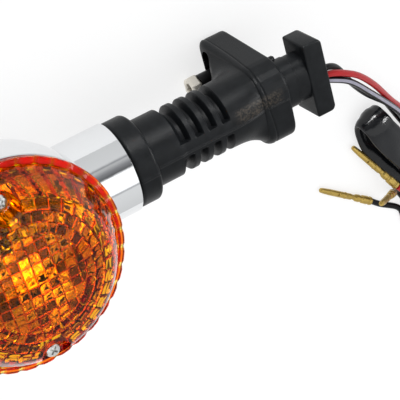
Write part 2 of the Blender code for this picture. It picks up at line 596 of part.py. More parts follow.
def make_flange(parts):
    """Flare and flange, with the lead bore, and the lobe that holds the nut in its recess."""
    outline = rounded_outline(FLANGE_CORNERS)

    def section(x, grow, circle=None):
        """One closed ring of points; circle rounds it towards that radius."""
        ring = []
        for point in outline:
            place = point * grow
            if circle:
                place = point.normalized() * circle
            ring.append(Vector((x, place.x, place.y)))
        return ring

    def between(x, share, grow):
        ring = []
        for round_point, flat_point in zip(section(x, 1.0, RIB_R), section(x, grow)):
            ring.append(round_point.lerp(flat_point, share))
        return ring

    start = BELLOWS_END_X + GAP
    run = FLANGE_X - start
    rings = [section(start, 1.0, RIB_R)]
    for share, bulge in ((0.35, 0.06), (0.6, 0.20), (0.8, 0.46), (0.93, 0.76)):
        rings.append(between(start + run * share, bulge, 0.94))
    rings += [section(FLANGE_X, 0.93), section(FLANGE_X + 0.0002, 0.98), section(FLANGE_X + 0.0012, 1.0),
              section(FLANGE_BACK_X - 0.0010, 1.0), section(FLANGE_BACK_X, 0.975)]
    body = lofted("flange_body", rings, parts)
    neck_seat = neck_rod("neck_seat", (FLANGE_BACK_X - NECK_SEAT, FLANGE_BACK_X + 0.01), GAP, parts)
    body = combine(body, [neck_seat], "DIFFERENCE", parts)
    nub = drum("nub", 0.0013, FLANGE_BACK_X - 0.002, FLANGE_BACK_X + 0.0026, parts, (0.0114, 0.0), "X", 16)
    body = combine(body, [nub], "UNION", parts)
    stem_bore = drum("stem_bore", 0.0064, start - 0.01, 0.112, parts, along="X", steps=32)
    recess = drum("recess", RECESS_R, 0.090, RECESS_END_X, parts, RECESS_AT, "X", 24)
    seat = drum("nut_seat", NUT_SEAT_R, 0.090, RECESS_END_X, parts, NUT_AT, "X", 32)
    bolt = drum("bolt_hole", BOLT_R, 0.110, FLANGE_BACK_X + 0.01, parts, NUT_AT, "X", 24)
    cuts = [lead_bore(parts), stem_bore, recess, seat, bolt]
    whole = combine(body, cuts, "DIFFERENCE", parts)
    spans = {"boot_flange": (LOBE_TOP_Z + GAP, STEM_Z), "boot_lobe": (-STEM_Z - 0.01, LOBE_TOP_Z)}
    for name, (low, high) in spans.items():
        piece = add_object(name, whole.data.copy(), parts)
        room = block("room", (start - 0.01, -STEM_Z, low), (FLANGE_BACK_X + 0.01, STEM_Z, high), parts)
        dress(combine(piece, [room], "INTERSECT", parts), "rubber")
    bpy.data.objects.remove(whole, do_unlink=True)


def lead_bore(parts):
    return drum("lead_bore", 0.0036, 0.100, PLATE_END_X + 0.01, parts, (EXIT_Y, EXIT_Z), "X", 24)


def neck_rod(name, ends, room, parts):
    """An oval rod along the stem between two x places, wider than the neck by some room on each side."""
    ring = []
    for step in range(32):
        angle = math.tau * step / 32
        across = math.copysign(abs(math.cos(angle)) ** 0.8, math.cos(angle))
        along = math.copysign(abs(math.sin(angle)) ** 0.8, math.sin(angle))
        ring.append(((NECK_HALF_Y + room) * across, (NECK_HALF_Z + room) * along))
    return lofted(name, [[Vector((x, y, z)) for y, z in ring] for x in ends], parts)


def make_foot(parts):
    """Oval neck that starts in the flange's seat, and the plate that holds the bracket against the flange."""
    neck = neck_rod("boot_foot", (FLANGE_BACK_X - NECK_SEAT + GAP, PLATE_X + 0.002), 0.0, parts)
    plate = block("plate", (PLATE_X, PLATE_LOW_Y, -PLATE_HALF_Z), (PLATE_END_X, PLATE_HIGH_Y, PLATE_HALF_Z),
                  parts)
    rounding = plate.modifiers.new("round", "BEVEL")
    rounding.width = 0.0010
    rounding.segments = 2
    foot = combine(neck, [baked(plate, "plate_round", parts)], "UNION", parts)
    dress(combine(foot, [lead_bore(parts)], "DIFFERENCE", parts), "rubber")


def lofted(name, rings, parts):
    """A closed solid through rings of points that run the same way round."""
    work = bmesh.new()
    made = [[work.verts.new(point) for point in ring] for ring in rings]
    count = len(made[0])
    for one, two in zip(made, made[1:]):
        for index in range(count):
            after = (index + 1) % count
            work.faces.new((one[index], one[after], two[after], two[index]))
    work.faces.new(list(reversed(made[0])))
    work.faces.new(made[-1])
    bmesh.ops.recalc_face_normals(work, faces=work.faces)
    mesh = bpy.data.meshes.new(name)
    work.to_mesh(mesh)
    work.free()
    return add_object(name, mesh, parts)


def make_nut(parts):
    """Zinc-plated insert nut in the lobe's recess: hexagon head towards the lamp, round shank behind it."""
    flats = 0.0048
    nut = turned("mount_nut", [(0, 0.1050), (flats - 0.0006, 0.1050), (flats, 0.1044), (flats, 0.1014),
                               (flats - 0.0010, 0.1005), (0, 0.1005)], parts, along="X",
                 at=(0, NUT_AT[0], NUT_AT[1]), steps=6)
    shank = drum("shank", NUT_SHANK_R, 0.1040, RECESS_END_X - GAP, parts, NUT_AT, "X", 24)
    nut = combine(nut, [shank], "UNION", parts)
    thread = drum("thread", 0.0025, 0.095, 0.120, parts, NUT_AT, "X", 20)
    return dress(combine(nut, [thread], "DIFFERENCE", parts), "steel")


# ---- leads -------------------------------------------------------------------------------------
def make_leads(parts):
    """Captive leads inside the stem, then the free leads, tails and the sleeve over the bundle."""
    for name, route in (("lead_red", RED_CORE), ("lead_black", BLACK_CORE), ("lead_tracer", TRACER_CORE)):
        dress(wire(name + "_inner", smooth_route(route, 0.0055), LEAD_R, parts), name)
    free = (("lead_red", RED_ROUTE, RED_TAIL), ("lead_black", BLACK_ROUTE, BLACK_TAIL),
            ("lead_tracer", TRACER_ROUTE, TRACER_TAIL))
    for name, route, tail in free:
        dress(wire(name, smooth_route(route, 0.0048), LEAD_R, parts, in_world=True), name)
        dress(wire(name + "_tail", smooth_route(tail, 0.0044), LEAD_R, parts, in_world=True), name)


def make_sleeve(parts):
    """Flat, folded sleeve over the three leads, closed as one solid."""
    route = smooth_route(SLEEVE_ROUTE, 0.0042)
    width_axis = Vector(SLEEVE_WIDTH_AXIS).normalized()
    rings = []
    for index, point in enumerate(route):
        ahead = route[min(index + 1, len(route) - 1)] - route[max(index - 1, 0)]
        across = (width_axis - ahead.normalized() * width_axis.dot(ahead.normalized())).normalized()
        up = ahead.normalized().cross(across)
        ring = []
        for step in range(12):
            angle = math.tau * step / 12
            wide = math.copysign(abs(math.cos(angle)) ** 0.6, math.cos(angle)) * SLEEVE_HALF_WIDTH
            thick = math.sin(angle) * SLEEVE_HALF_THICK
            place = point + across * wide + up * thick
            ring.append(place - parts["frame"].location)
        rings.append(ring)
    dress(lofted("harness_sleeve", rings, parts), "sleeve")


def make_terminals(parts):
    """Brass bullet terminals: nose, barrel with its waist, and the crimp."""
    for name, (nose, tail) in TERMINALS.items():
        nose = Vector(nose)
        run = Vector(tail) - nose
        length = run.length
        crimp = length * 0.62
        profile = [(0, length), (TERMINAL_R, length), (TERMINAL_R, crimp),
                   (TERMINAL_R * 0.80, crimp - 0.0008),
                   (TERMINAL_R * 0.95, crimp - 0.0024), (TERMINAL_R * 0.95, 0.0028),
                   (TERMINAL_R * 0.70, 0.0008), (TERMINAL_R * 0.40, 0), (0, 0)]
        made = turned(name, profile, parts, steps=14)
        turn = Vector((0, 0, 1)).rotation_difference(run)
        made.matrix_basis = Matrix.Translation(nose - parts["frame"].location) @ turn.to_matrix().to_4x4()
        dress(made, "brass")


def main():
    clear_scene()
    frame = bpy.data.objects.new("stem_frame", None)
    collection("turn_signal").objects.link(frame)
    frame.location = (LAMP_X, 0.0, STEM_Z)
    bpy.context.view_layer.update()
    parts = {"frame": frame}
    make_housing(parts)
    make_lens(parts)
    make_gasket(parts)
    make_lens_screws(parts)
    make_reflector(parts)
    make_socket(parts)
    make_bulb(parts)
    make_collar(parts)
    make_bellows(parts)
    make_flange(parts)
    make_foot(parts)
    make_nut(parts)
    make_leads(parts)
    make_sleeve(parts)
    make_terminals(parts)


main()
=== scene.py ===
"""Looks of the motorcycle turn signal lamp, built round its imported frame.

Metres, in the CAD model's frame: the lamp lies on its back, +X runs from the lamp to the foot, +Y is the
lamp's upper side, +Z the way the lens faces, and the origin is on the surface the part lies on.
"""

import json
import math
import random

import bmesh
import bpy
from mathutils import Matrix, Vector


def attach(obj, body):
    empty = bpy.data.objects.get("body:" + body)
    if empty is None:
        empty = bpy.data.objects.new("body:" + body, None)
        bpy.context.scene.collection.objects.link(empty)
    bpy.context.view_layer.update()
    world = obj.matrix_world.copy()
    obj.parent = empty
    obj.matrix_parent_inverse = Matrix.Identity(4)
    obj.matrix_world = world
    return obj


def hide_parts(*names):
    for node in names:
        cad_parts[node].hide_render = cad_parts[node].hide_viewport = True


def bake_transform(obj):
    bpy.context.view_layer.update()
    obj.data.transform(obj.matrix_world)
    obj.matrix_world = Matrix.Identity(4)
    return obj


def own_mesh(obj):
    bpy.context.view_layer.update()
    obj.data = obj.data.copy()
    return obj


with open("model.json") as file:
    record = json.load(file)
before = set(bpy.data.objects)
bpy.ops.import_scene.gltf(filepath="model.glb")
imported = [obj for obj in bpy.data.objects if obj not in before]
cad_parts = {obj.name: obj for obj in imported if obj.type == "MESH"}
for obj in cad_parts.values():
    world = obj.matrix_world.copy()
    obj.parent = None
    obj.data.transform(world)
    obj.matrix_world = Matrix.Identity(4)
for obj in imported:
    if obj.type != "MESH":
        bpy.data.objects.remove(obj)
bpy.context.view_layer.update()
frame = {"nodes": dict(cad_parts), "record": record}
JOINTS = {joint["name"]: joint for joint in frame["record"]["behaviour"]["joints"]}
LAMP_X, _, STEM_Z = JOINTS["bulb_twist"]["pos_m"]
STEM = Vector((LAMP_X, 0.0, STEM_Z))          # where the lens axis meets the stem's axis

# ---- dimensions, in the stem's frame -----------------------------------------------------------
CUP_R = 0.0388
CUP_RIM_Z = 0.0270
CUP_SHOULDER_Z = 0.015
CUP_WALL = 0.0016
NECK_R = 0.01725
NECK_BORE_R = 0.0154
NECK_END_X = 0.05425
COLLAR_R = 0.0166
COLLAR_END_X = 0.0632
BARREL_R = 0.0131
BELLOWS_START_X = 0.0762
BELLOWS_END_X = 0.0954
RIB_PITCH = 0.0056
RIB_R = 0.0127
GROOVE_R = 0.0096
GROOVE_HALF = 0.00125
FLANGE_X = 0.1105
FLANGE_BACK_X = 0.1220
PLATE_X = 0.1332
PLATE_END_X = 0.1413
PLATE_HIGH_Y = 0.01415
PLATE_LOW_Y = -0.0160
PLATE_HALF_Z = 0.00735
NUT_Z = -0.0285
LENS_R = 0.039
LENS_RIM_Z = 0.0286
SCREW_X = -0.0010
SCREW_PITCH_R = 0.0295
SCREW_SEAT_Z = 0.0370
LEAD_R = 0.0011
FREE_LEAD_R = 0.0013
SECTORS = 36                                  # prisms round the lens
GRID_R = 0.0175                               # radius of the square grid in the lens's middle
WIRE_R = 0.0003                               # wire of the contact spring
PRISM = 0.0037                                # side of a prism
WALL_R = 0.0285                               # radius where the slanted bars of the side wall begin
WALL_RISE = 0.0114                            # height of the side wall
BAR_SLANT = 0.7                               # prisms that a bar leans by, from the rim to the wall's top

# ---- free leads and the sleeve: their centre lines, as listed ----------------------------------
ROUTES = {
    "red": [
        (0.0905, -0.0034, 0.0369), (0.0941, -0.0041, 0.0370), (0.1003, -0.0075, 0.0355),
        (0.1080, -0.0135, 0.0320), (0.1174, -0.0242, 0.0255), (0.1285, -0.0394, 0.0159),
        (0.1381, -0.0519, 0.0085), (0.1426, -0.0614, 0.0050), (0.1474, -0.0704, 0.0023),
        (0.1532, -0.0800, 0.0012), (0.1606, -0.0902, 0.0011), (0.1651, -0.0967, 0.0011),
        (0.1666, -0.1040, 0.0012), (0.1632, -0.1108, 0.0012), (0.1550, -0.1138, 0.0025),
        (0.1488, -0.1090, 0.0046), (0.1472, -0.1019, 0.0053), (0.1450, -0.0974, 0.0057),
    ],
    "black": [
        (0.0905, -0.0011, 0.0365), (0.0945, -0.0020, 0.0351), (0.0995, -0.0062, 0.0320),
        (0.1072, -0.0180, 0.0262), (0.1192, -0.0326, 0.0145), (0.1312, -0.0450, 0.0065),
        (0.1344, -0.0493, 0.0032), (0.1389, -0.0579, 0.0013), (0.1441, -0.0691, 0.0011),
        (0.1500, -0.0800, 0.0011), (0.1574, -0.0908, 0.0011), (0.1623, -0.0970, 0.0011),
        (0.1640, -0.1039, 0.0011), (0.1610, -0.1092, 0.0013), (0.1554, -0.1107, 0.0031),
        (0.1514, -0.1081, 0.0040), (0.1494, -0.1008, 0.0053), (0.1472, -0.0963, 0.0057),
    ],
    "tracer": [
        (0.0905, -0.0057, 0.0365), (0.0939, -0.0070, 0.0362), (0.1022, -0.0124, 0.0343),
        (0.1134, -0.0248, 0.0274), (0.1300, -0.0445, 0.0155), (0.1372, -0.0553, 0.0081),
        (0.1392, -0.0621, 0.0040), (0.1416, -0.0700, 0.0015), (0.1475, -0.0806, 0.0011),
        (0.1543, -0.0916, 0.0012), (0.1596, -0.0975, 0.0013), (0.1614, -0.1032, 0.0012),
        (0.1597, -0.1069, 0.0021), (0.1564, -0.1079, 0.0039), (0.1534, -0.1056, 0.0053),
        (0.1517, -0.0997, 0.0053), (0.1495, -0.0952, 0.0057),
    ],
}
TAILS = {
    "red": [
        (0.1449, -0.0984, 0.0018), (0.1473, -0.1016, 0.0014), (0.1472, -0.1065, 0.0014),
        (0.1424, -0.1097, 0.0022), (0.1346, -0.1058, 0.0039), (0.1336, -0.0957, 0.0051),
        (0.1321, -0.0905, 0.0068), (0.1277, -0.0842, 0.0079),
    ],
    "black": [
        (0.1469, -0.0969, 0.0018), (0.1499, -0.1009, 0.0013), (0.1498, -0.1079, 0.0011),
        (0.1429, -0.1123, 0.0011), (0.1359, -0.1089, 0.0011), (0.1339, -0.1029, 0.0011),
        (0.1335, -0.0970, 0.0011), (0.1318, -0.0925, 0.0013), (0.1295, -0.0901, 0.0024),
        (0.1273, -0.0886, 0.0042),
    ],
    "tracer": [
        (0.1490, -0.0954, 0.0018), (0.1519, -0.0994, 0.0013), (0.1531, -0.1089, 0.0011),
        (0.1428, -0.1155, 0.0012), (0.1357, -0.1125, 0.0011), (0.1317, -0.1067, 0.0011),
        (0.1300, -0.0990, 0.0011), (0.1215, -0.0925, 0.0013), (0.1172, -0.0885, 0.0017),
    ],
}
SLEEVE_ROUTE = [
    (0.1469, -0.0956, 0.0057), (0.1418, -0.0855, 0.0062), (0.1358, -0.0745, 0.0076),
    (0.1300, -0.0640, 0.0094), (0.1256, -0.0562, 0.0105), (0.1239, -0.0519, 0.0103),
    (0.1227, -0.0489, 0.0084), (0.12235, -0.0480, 0.0061), (0.12235, -0.0489, 0.0038),
    (0.12235, -0.0518, 0.0021), (0.1226, -0.0562, 0.00175), (0.1242, -0.0632, 0.00175),
    (0.1296, -0.0740, 0.00175), (0.1381, -0.0855, 0.00175), (0.1465, -0.0963, 0.00175),
]
SLEEVE_WIDTH_AXIS = Vector((0.92, 0.39, 0.0)).normalized()
LEAD_OFFSETS = {"red": -0.0025, "black": 0.0, "tracer": 0.0025}    # across the sleeve
TERMINALS = {
    "red": ((0.11425, -0.0600, 0.0021), (0.12745, -0.08375, 0.0078)),
    "tracer": ((0.09495, -0.0712, 0.0021), (0.11685, -0.0882, 0.0021)),
    "black": ((0.10975, -0.0771, 0.0234), (0.12695, -0.0884, 0.0045)),
}
# captive leads, in the stem's frame
CORES = {
    "red": [
        (-0.0026, 0.0, -0.0202), (-0.0020, 0.0, -0.0240), (0.0040, 0.0, -0.0255), (0.0130, 0.0, -0.0195),
        (0.0220, 0.0, -0.0095), (0.0330, 0.0, -0.0015), (0.0480, 0.0, 0.0), (0.0950, 0.0, 0.0),
        (0.1030, -0.0018, 0.0012), (0.1110, -0.0034, 0.0024), (0.1410, -0.0034, 0.0024),
    ],
    "tracer": [
        (0.0026, -0.0032, -0.0205), (0.0036, -0.0036, -0.0235), (0.0085, -0.0038, -0.0235),
        (0.0150, -0.0038, -0.0170), (0.0240, -0.0034, -0.0060), (0.0350, -0.0026, -0.0005),
        (0.0480, -0.0025, 0.0), (0.0950, -0.0025, 0.0), (0.1030, -0.0042, 0.0010),
        (0.1110, -0.0057, 0.0020), (0.1410, -0.0057, 0.0020),
    ],
    "black": [
        (0.0103, 0.0036, -0.0050), (0.0125, 0.0036, -0.0060), (0.0180, 0.0034, -0.0060),
        (0.0260, 0.0030, -0.0025), (0.0360, 0.0026, 0.0), (0.0480, 0.0025, 0.0), (0.0950, 0.0025, 0.0),
        (0.1030, 0.0007, 0.0010), (0.1110, -0.0011, 0.0020), (0.1410, -0.0011, 0.0020),
    ],
}


# ---- camera, light and floor -------------------------------------------------------------------
def placed(name, data):
    """A new object in the scene."""
    made = bpy.data.objects.new(name, data)
    bpy.context.scene.collection.objects.link(made)
    return made


def make_camera():
    """Camera above the lamp, looking down the stem towards the foot."""
    data = bpy.data.cameras.new("camera")
    data.lens = 148.5
    data.sensor_width = 36
    data.clip_start = 0.01
    camera = placed("camera", data)
    right = Vector((0.8385, -0.2421, 0.4883)).normalized()
    up = Vector((0.4394, 0.8303, -0.3429))
    back = right.cross(up).normalized()
    up = back.cross(right)
    place = Matrix((right, up, back)).transposed().to_4x4()
    place.translation = (-0.16735, 0.2786, 0.5249)
    camera.matrix_world = place
    bpy.context.scene.camera = camera


def area_light(name, place, target, size, power):
    data = bpy.data.lights.new(name, "AREA")
    data.shape = "RECTANGLE"
    data.size, data.size_y = size
    data.energy = power
    light = placed(name, data)
    light.location = place
    light.rotation_euler = (Vector(target) - Vector(place)).to_track_quat("-Z", "Y").to_euler()
    light.visible_glossy = False
    return light


# brightness of the studio by direction round the stem, in degrees from overhead towards +Y
STUDIO_BANDS = [(-180, 0.68), (-95, 0.76), (-33, 0.88), (-29, 0.42), (-25, 1.45), (14, 1.45), (19, 0.14),
                (30, 0.30), (41, 0.60), (45, 0.36), (50, 0.80), (95, 0.74), (179, 0.68)]
# lights for a few pieces only: name, the pieces' collection, place, size and watts
LINKED_LIGHTS = [
    ("rubber_upper", "rubber_lit", (0.05, 0.60, 0.35), (0.5, 0.06), 5.0),
    ("rubber_far", "rubber_lit", (0.60, 0.10, 0.45), (0.06, 0.5), 3.6),
    ("lens_fill", "lens_lit", (-0.30, 0.45, 0.80), (0.6, 0.6), 9.0),
]


def make_world():
    world = bpy.data.worlds.new("studio")
    bpy.context.scene.world = world
    world.use_nodes = True
    tree = world.node_tree
    parts = node(tree, "SeparateXYZ", {"Vector": node(tree, "TexCoord").outputs["Generated"]}).outputs
    turn = calc(tree, "ARCTAN2", parts["Y"], parts["Z"])
    bands = node(tree, "ValToRGB", {"Fac": span(tree, turn, -math.pi, math.pi, 0.0, 1.0)})
    stops = bands.color_ramp.elements
    for degrees, level in STUDIO_BANDS:
        stop = stops.new((degrees + 180) / 360)
        stop.color = (level * 0.985, level * 0.995, level * (1.04 if level < 0.6 else 1.0), 1.0)
    stops.remove(stops[0])
    feed(tree, tree.nodes["Background"].inputs["Color"], bands.outputs["Color"])


def make_floor():
    mesh = bpy.data.meshes.new("floor")
    side = 3.0
    corners = [(-side, -side, 0), (side, -side, 0), (side, side, 0), (-side, side, 0)]
    mesh.from_pydata(corners, [], [(0, 1, 2, 3)])
    floor = placed("floor", mesh)
    white = (1.0, 1.0, 1.0, 1.0)
    mesh.materials.append(new_material("floor", {"Base Color": (0.30, 0.30, 0.30, 1.0), "Roughness": 1.0,
                                                 "Emission Color": white, "Emission Strength": 0.72}))


def make_lights():
    """Studio lights; returns the collections of pieces that the linked ones reach."""
    area_light("key", (-0.35, 0.55, 0.75), (0, 0, 0.03), (0.5, 0.5), 0.9)
    area_light("top", (0.15, -0.10, 0.85), (0, 0, 0.03), (0.9, 0.6), 0.9)
    groups = {group: bpy.data.collections.new(group) for group in ("rubber_lit", "lens_lit")}
    for name, group, place, size, power in LINKED_LIGHTS:
        light = area_light(name, place, (0.04, 0.0, 0.035), size, power)
        light.visible_glossy = True
        light.light_linking.receiver_collection = groups[group]
    return groups


# ---- mesh helpers ------------------------------------------------------------------------------
def link_mesh(name, verts, faces, material=None, sharp=35):
    """A new mesh object in the row frame, smooth except at sharp edges, with its faces pointing out."""
    mesh = bpy.data.meshes.new(name)
    mesh.from_pydata([tuple(vert) for vert in verts], [], faces)
    work = bmesh.new()
    work.from_mesh(mesh)
    bmesh.ops.remove_doubles(work, verts=work.verts, dist=1e-6)
    bmesh.ops.recalc_face_normals(work, faces=work.faces)
    work.to_mesh(mesh)
    work.free()
    made = placed(name, mesh)
    if material:
        mesh.materials.append(material)
    smooth(made, sharp)
    return made


def smooth(piece, sharp):
    piece.data.shade_smooth()
    piece.data.set_sharp_from_angle(angle=math.radians(sharp))


def dress(piece, material, sharp=None):
    """One material over the whole piece; with a sharp angle, smooth shading up to it."""
    piece.data.materials.clear()
    piece.data.materials.append(material)
    if sharp:
        smooth(piece, sharp)


def polar(radius, angle, height):
    """A point by its radius, angle and height about +Z."""
    return Vector((radius * math.cos(angle), radius * math.sin(angle), height))


def circle(steps):
    """The angles of a full turn."""
    return [math.tau * step / steps for step in range(steps)]


def skin(rings, close_ends=True):
    """Vertices and faces of a skin over closed rings of equally many points."""
    count = len(rings[0])
    faces = []
    for row in range(len(rings) - 1):
        for index in range(count):
            after = (index + 1) % count
            faces.append((row * count + index, row * count + after,
                          (row + 1) * count + after, (row + 1) * count + index))
    if close_ends:
        faces.append(tuple(reversed(range(count))))
        faces.append(tuple(range((len(rings) - 1) * count, len(rings) * count)))
    return [point for ring in rings for point in ring], faces


def lathe(name, profile, steps, centre, axis="Z", material=None, sharp=35):
    """A turned piece; the profile's points are (radius, height), closed on the axis or as a ring."""
    rings = []
    for radius, height in profile:
        ring = [polar(max(radius, 1e-7), angle, height) for angle in circle(steps)]
        if axis == "X":
            ring = [Vector((point.z, point.x, point.y)) for point in ring]
        rings.append([point + Vector(centre) for point in ring])
    on_axis = profile[0][0] == 0 and profile[-1][0] == 0
    if not on_axis:
        rings.append(rings[0])
    verts, faces = skin(rings, close_ends=False)
    return link_mesh(name, verts, faces, material, sharp)


def rod(name, radius, low, high, centre, steps, axis="Z"):
    """A plain cylinder between two heights along its axis."""
    return lathe(name, [(0, high), (radius, high), (radius, low), (0, low)], steps, centre, axis)


def drill(name, radius, start, end, place, steps):
    """A rod along the stem between two x places, to bore with; place is its (y, z)."""
    return rod(name, radius, start, end, STEM + Vector((0, *place)), steps, "X")


def boolean(target, tools, operation):
    """Cut tools from a piece, or join them to it, and drop them."""
    for tool in tools:
        step = target.modifiers.new("step", "BOOLEAN")
        step.operation = operation
        step.solver = "EXACT"
        step.object = tool
    bake(target)
    for tool in tools:
        bpy.data.objects.remove(tool, do_unlink=True)


def bevel(piece, width, segments):
    """Round a piece's sharp edges."""
    rounding = piece.modifiers.new("round", "BEVEL")
    rounding.width = width
    rounding.segments = segments
    rounding.limit_method = "ANGLE"
    bake(piece)


def bake(piece):
    """Apply a piece's modifiers to its mesh."""
    bpy.context.view_layer.update()
    graph = bpy.context.evaluated_depsgraph_get()
    mesh = bpy.data.meshes.new_from_object(piece.evaluated_get(graph))
    piece.modifiers.clear()
    old = piece.data
    piece.data = mesh
    bpy.data.meshes.remove(old)


def smooth_route(points, spacing):
    """Points along a smooth curve through the route's own points, evenly spaced."""
    route = [Vector(point) for point in points]
    ends = [route[0] * 2 - route[1]] + route + [route[-1] * 2 - route[-2]]
    dense = []
    for before, start, end, after in zip(ends, ends[1:], ends[2:], ends[3:]):
        for step in range(24):
            t = step / 24
            dense.append(0.5 * (2 * start + (end - before) * t
                                + (2 * before - 5 * start + 4 * end - after) * t * t
                                + (3 * start - before - 3 * end + after) * t ** 3))
    dense.append(route[-1])
    lengths = [0.0]
    for one, two in zip(dense, dense[1:]):
        lengths.append(lengths[-1] + (two - one).length)
    count = max(2, round(lengths[-1] / spacing))
    made = []
    index = 0
    for step in range(count + 1):
        wanted = lengths[-1] * step / count
        while index < len(dense) - 2 and lengths[index + 1] < wanted:
            index += 1
        part = (wanted - lengths[index]) / (lengths[index + 1] - lengths[index])
        made.append(dense[index].lerp(dense[index + 1], min(1.0, part)))
    return made


def travelling_frames(path, across):
    """For each point: (point, side, up), turned as little as possible along the path."""
    made = []
    for index, point in enumerate(path):
        ahead = (path[min(index + 1, len(path) - 1)] - path[max(index - 1, 0)]).normalized()
        across = (across - ahead * across.dot(ahead)).normalized()
        made.append((point, across, ahead.cross(across)))
    return made


# ---- materials ---------------------------------------------------------------------------------
def feed(tree, socket, value):
    """Link an input to another socket, or set it to a plain value."""
    if isinstance(value, bpy.types.NodeSocket):
        tree.links.new(value, socket)
    else:
        socket.default_value = value


def node(tree, kind, values=None, **settings):
    """A new shader node; values are its inputs, each a socket or a plain value."""
    made = tree.nodes.new("ShaderNode" + kind)
    for name, setting in settings.items():
        setattr(made, name, setting)
    for key, value in (values or {}).items():
        feed(tree, made.inputs[key], value)
    return made


def calc(tree, operation, *values):
    """The result of a Math node over sockets and plain numbers."""
    return node(tree, "Math", dict(enumerate(values)), operation=operation).outputs["Value"]


def times(tree, one, two):
    return calc(tree, "MULTIPLY", one, two)


def choose(tree, mask, one, other):
    """One value where the mask is 1 and the other where it is 0."""
    return calc(tree, "MULTIPLY_ADD", mask, calc(tree, "SUBTRACT", one, other), other)


def mixed(tree, mask, plain, tinted):
    """The plain colour where the mask is 0 and the tinted one where it is 1."""
    return node(tree, "Mix", {0: mask, 6: plain, 7: tinted}, data_type="RGBA").outputs[2]


def span(tree, value, start, end, low, high, interpolation="LINEAR"):
    """A value mapped from one range to another, and held at its ends."""
    values = {"Value": value, "From Min": start, "From Max": end, "To Min": low, "To Max": high}
    return node(tree, "MapRange", values, interpolation_type=interpolation).outputs["Result"]


def band(tree, value, low, high, soft):
    """1 between two limits, fading to 0 outside them."""
    rise = span(tree, value, low - soft, low + soft, 0.0, 1.0, "SMOOTHSTEP")
    return times(tree, rise, span(tree, value, high - soft, high + soft, 1.0, 0.0, "SMOOTHSTEP"))


def ramp(tree, value, stops, interpolation="LINEAR"):
    """A colour by value, through stops of (position, colour)."""
    made = node(tree, "ValToRGB", {"Fac": value})
    made.color_ramp.interpolation = interpolation
    elements = made.color_ramp.elements
    for element, (position, colour) in zip(elements, (stops[0], stops[-1])):
        element.position = position
        element.color = colour
    for position, colour in stops[1:-1]:
        elements.new(position).color = colour
    return made.outputs["Color"]


def noise(tree, scale, detail):
    place = node(tree, "TexCoord").outputs["Object"]
    return node(tree, "TexNoise", {"Vector": place, "Scale": scale, "Detail": detail}).outputs["Fac"]


def bumped(tree, height, strength, distance):
    made = node(tree, "Bump", {"Height": height, "Strength": strength, "Distance": distance})
    return made.outputs["Normal"]


def shade(made, values):
    """Set or link inputs of a material's Principled shader."""
    for key, value in values.items():
        feed(made.node_tree, made.node_tree.nodes["Principled BSDF"].inputs[key], value)
    return made


def new_material(name, values):
    made = bpy.data.materials.new(name)
    made.use_nodes = True
    return shade(made, values)


def surface(name, colour, roughness, metallic=0.0, grain=0.0006, bump=0.05, mottle=0.15, rough_spread=0.08,
            specular=0.5):
    """A material whose colour, gloss and relief vary with fine noise."""
    made = new_material(name, {"Metallic": metallic, "Specular IOR Level": specular})
    tree = made.node_tree
    coarse = noise(tree, 1 / (grain * 14), 4.0)
    dark = [part * (1 - mottle) for part in colour] + [1.0]
    light = [min(1.0, part * (1 + mottle)) for part in colour] + [1.0]
    low, high = max(0.02, roughness - rough_spread), min(1.0, roughness + rough_spread)
    gloss = span(tree, coarse, 0.0, 1.0, low, high)
    return shade(made, {"Base Color": ramp(tree, coarse, [(0.3, dark), (0.7, light)]), "Roughness": gloss,
                        "Normal": bumped(tree, noise(tree, 1 / grain, 3.0), bump, grain)})


def clear_plastic(name, colour, density, roughness, ior=1.49):
    """A clear moulding that tints light by how far it travels inside."""
    made = new_material(name, {"Base Color": (1.0, 0.93, 0.80, 1.0), "Transmission Weight": 1.0, "IOR": ior,
                               "Roughness": roughness, "Specular Tint": (0.3, 0.3, 0.3, 1.0)})
    tree = made.node_tree
    depth = node(tree, "VolumeAbsorption", {"Color": colour, "Density": density}).outputs["Volume"]
    feed(tree, tree.nodes["Material Output"].inputs["Volume"], depth)
    return shade(made, {"Normal": bumped(tree, noise(tree, 260.0, 2.0), 0.04, 0.0005)})


def from_stem(tree):
    """Sockets for x, y and z from where the lens axis meets the stem's axis."""
    place = node(tree, "TexCoord").outputs["Object"]
    shifted = node(tree, "VectorMath", {0: place, 1: STEM}, operation="SUBTRACT").outputs["Vector"]
    parts = node(tree, "SeparateXYZ", {"Vector": shifted}).outputs
    return parts["X"], parts["Y"], parts["Z"]


def turn_in_prisms(tree, x, y):
    """The angle round the lens, counted in prisms."""
    return times(tree, calc(tree, "ARCTAN2", y, x), SECTORS / math.tau)


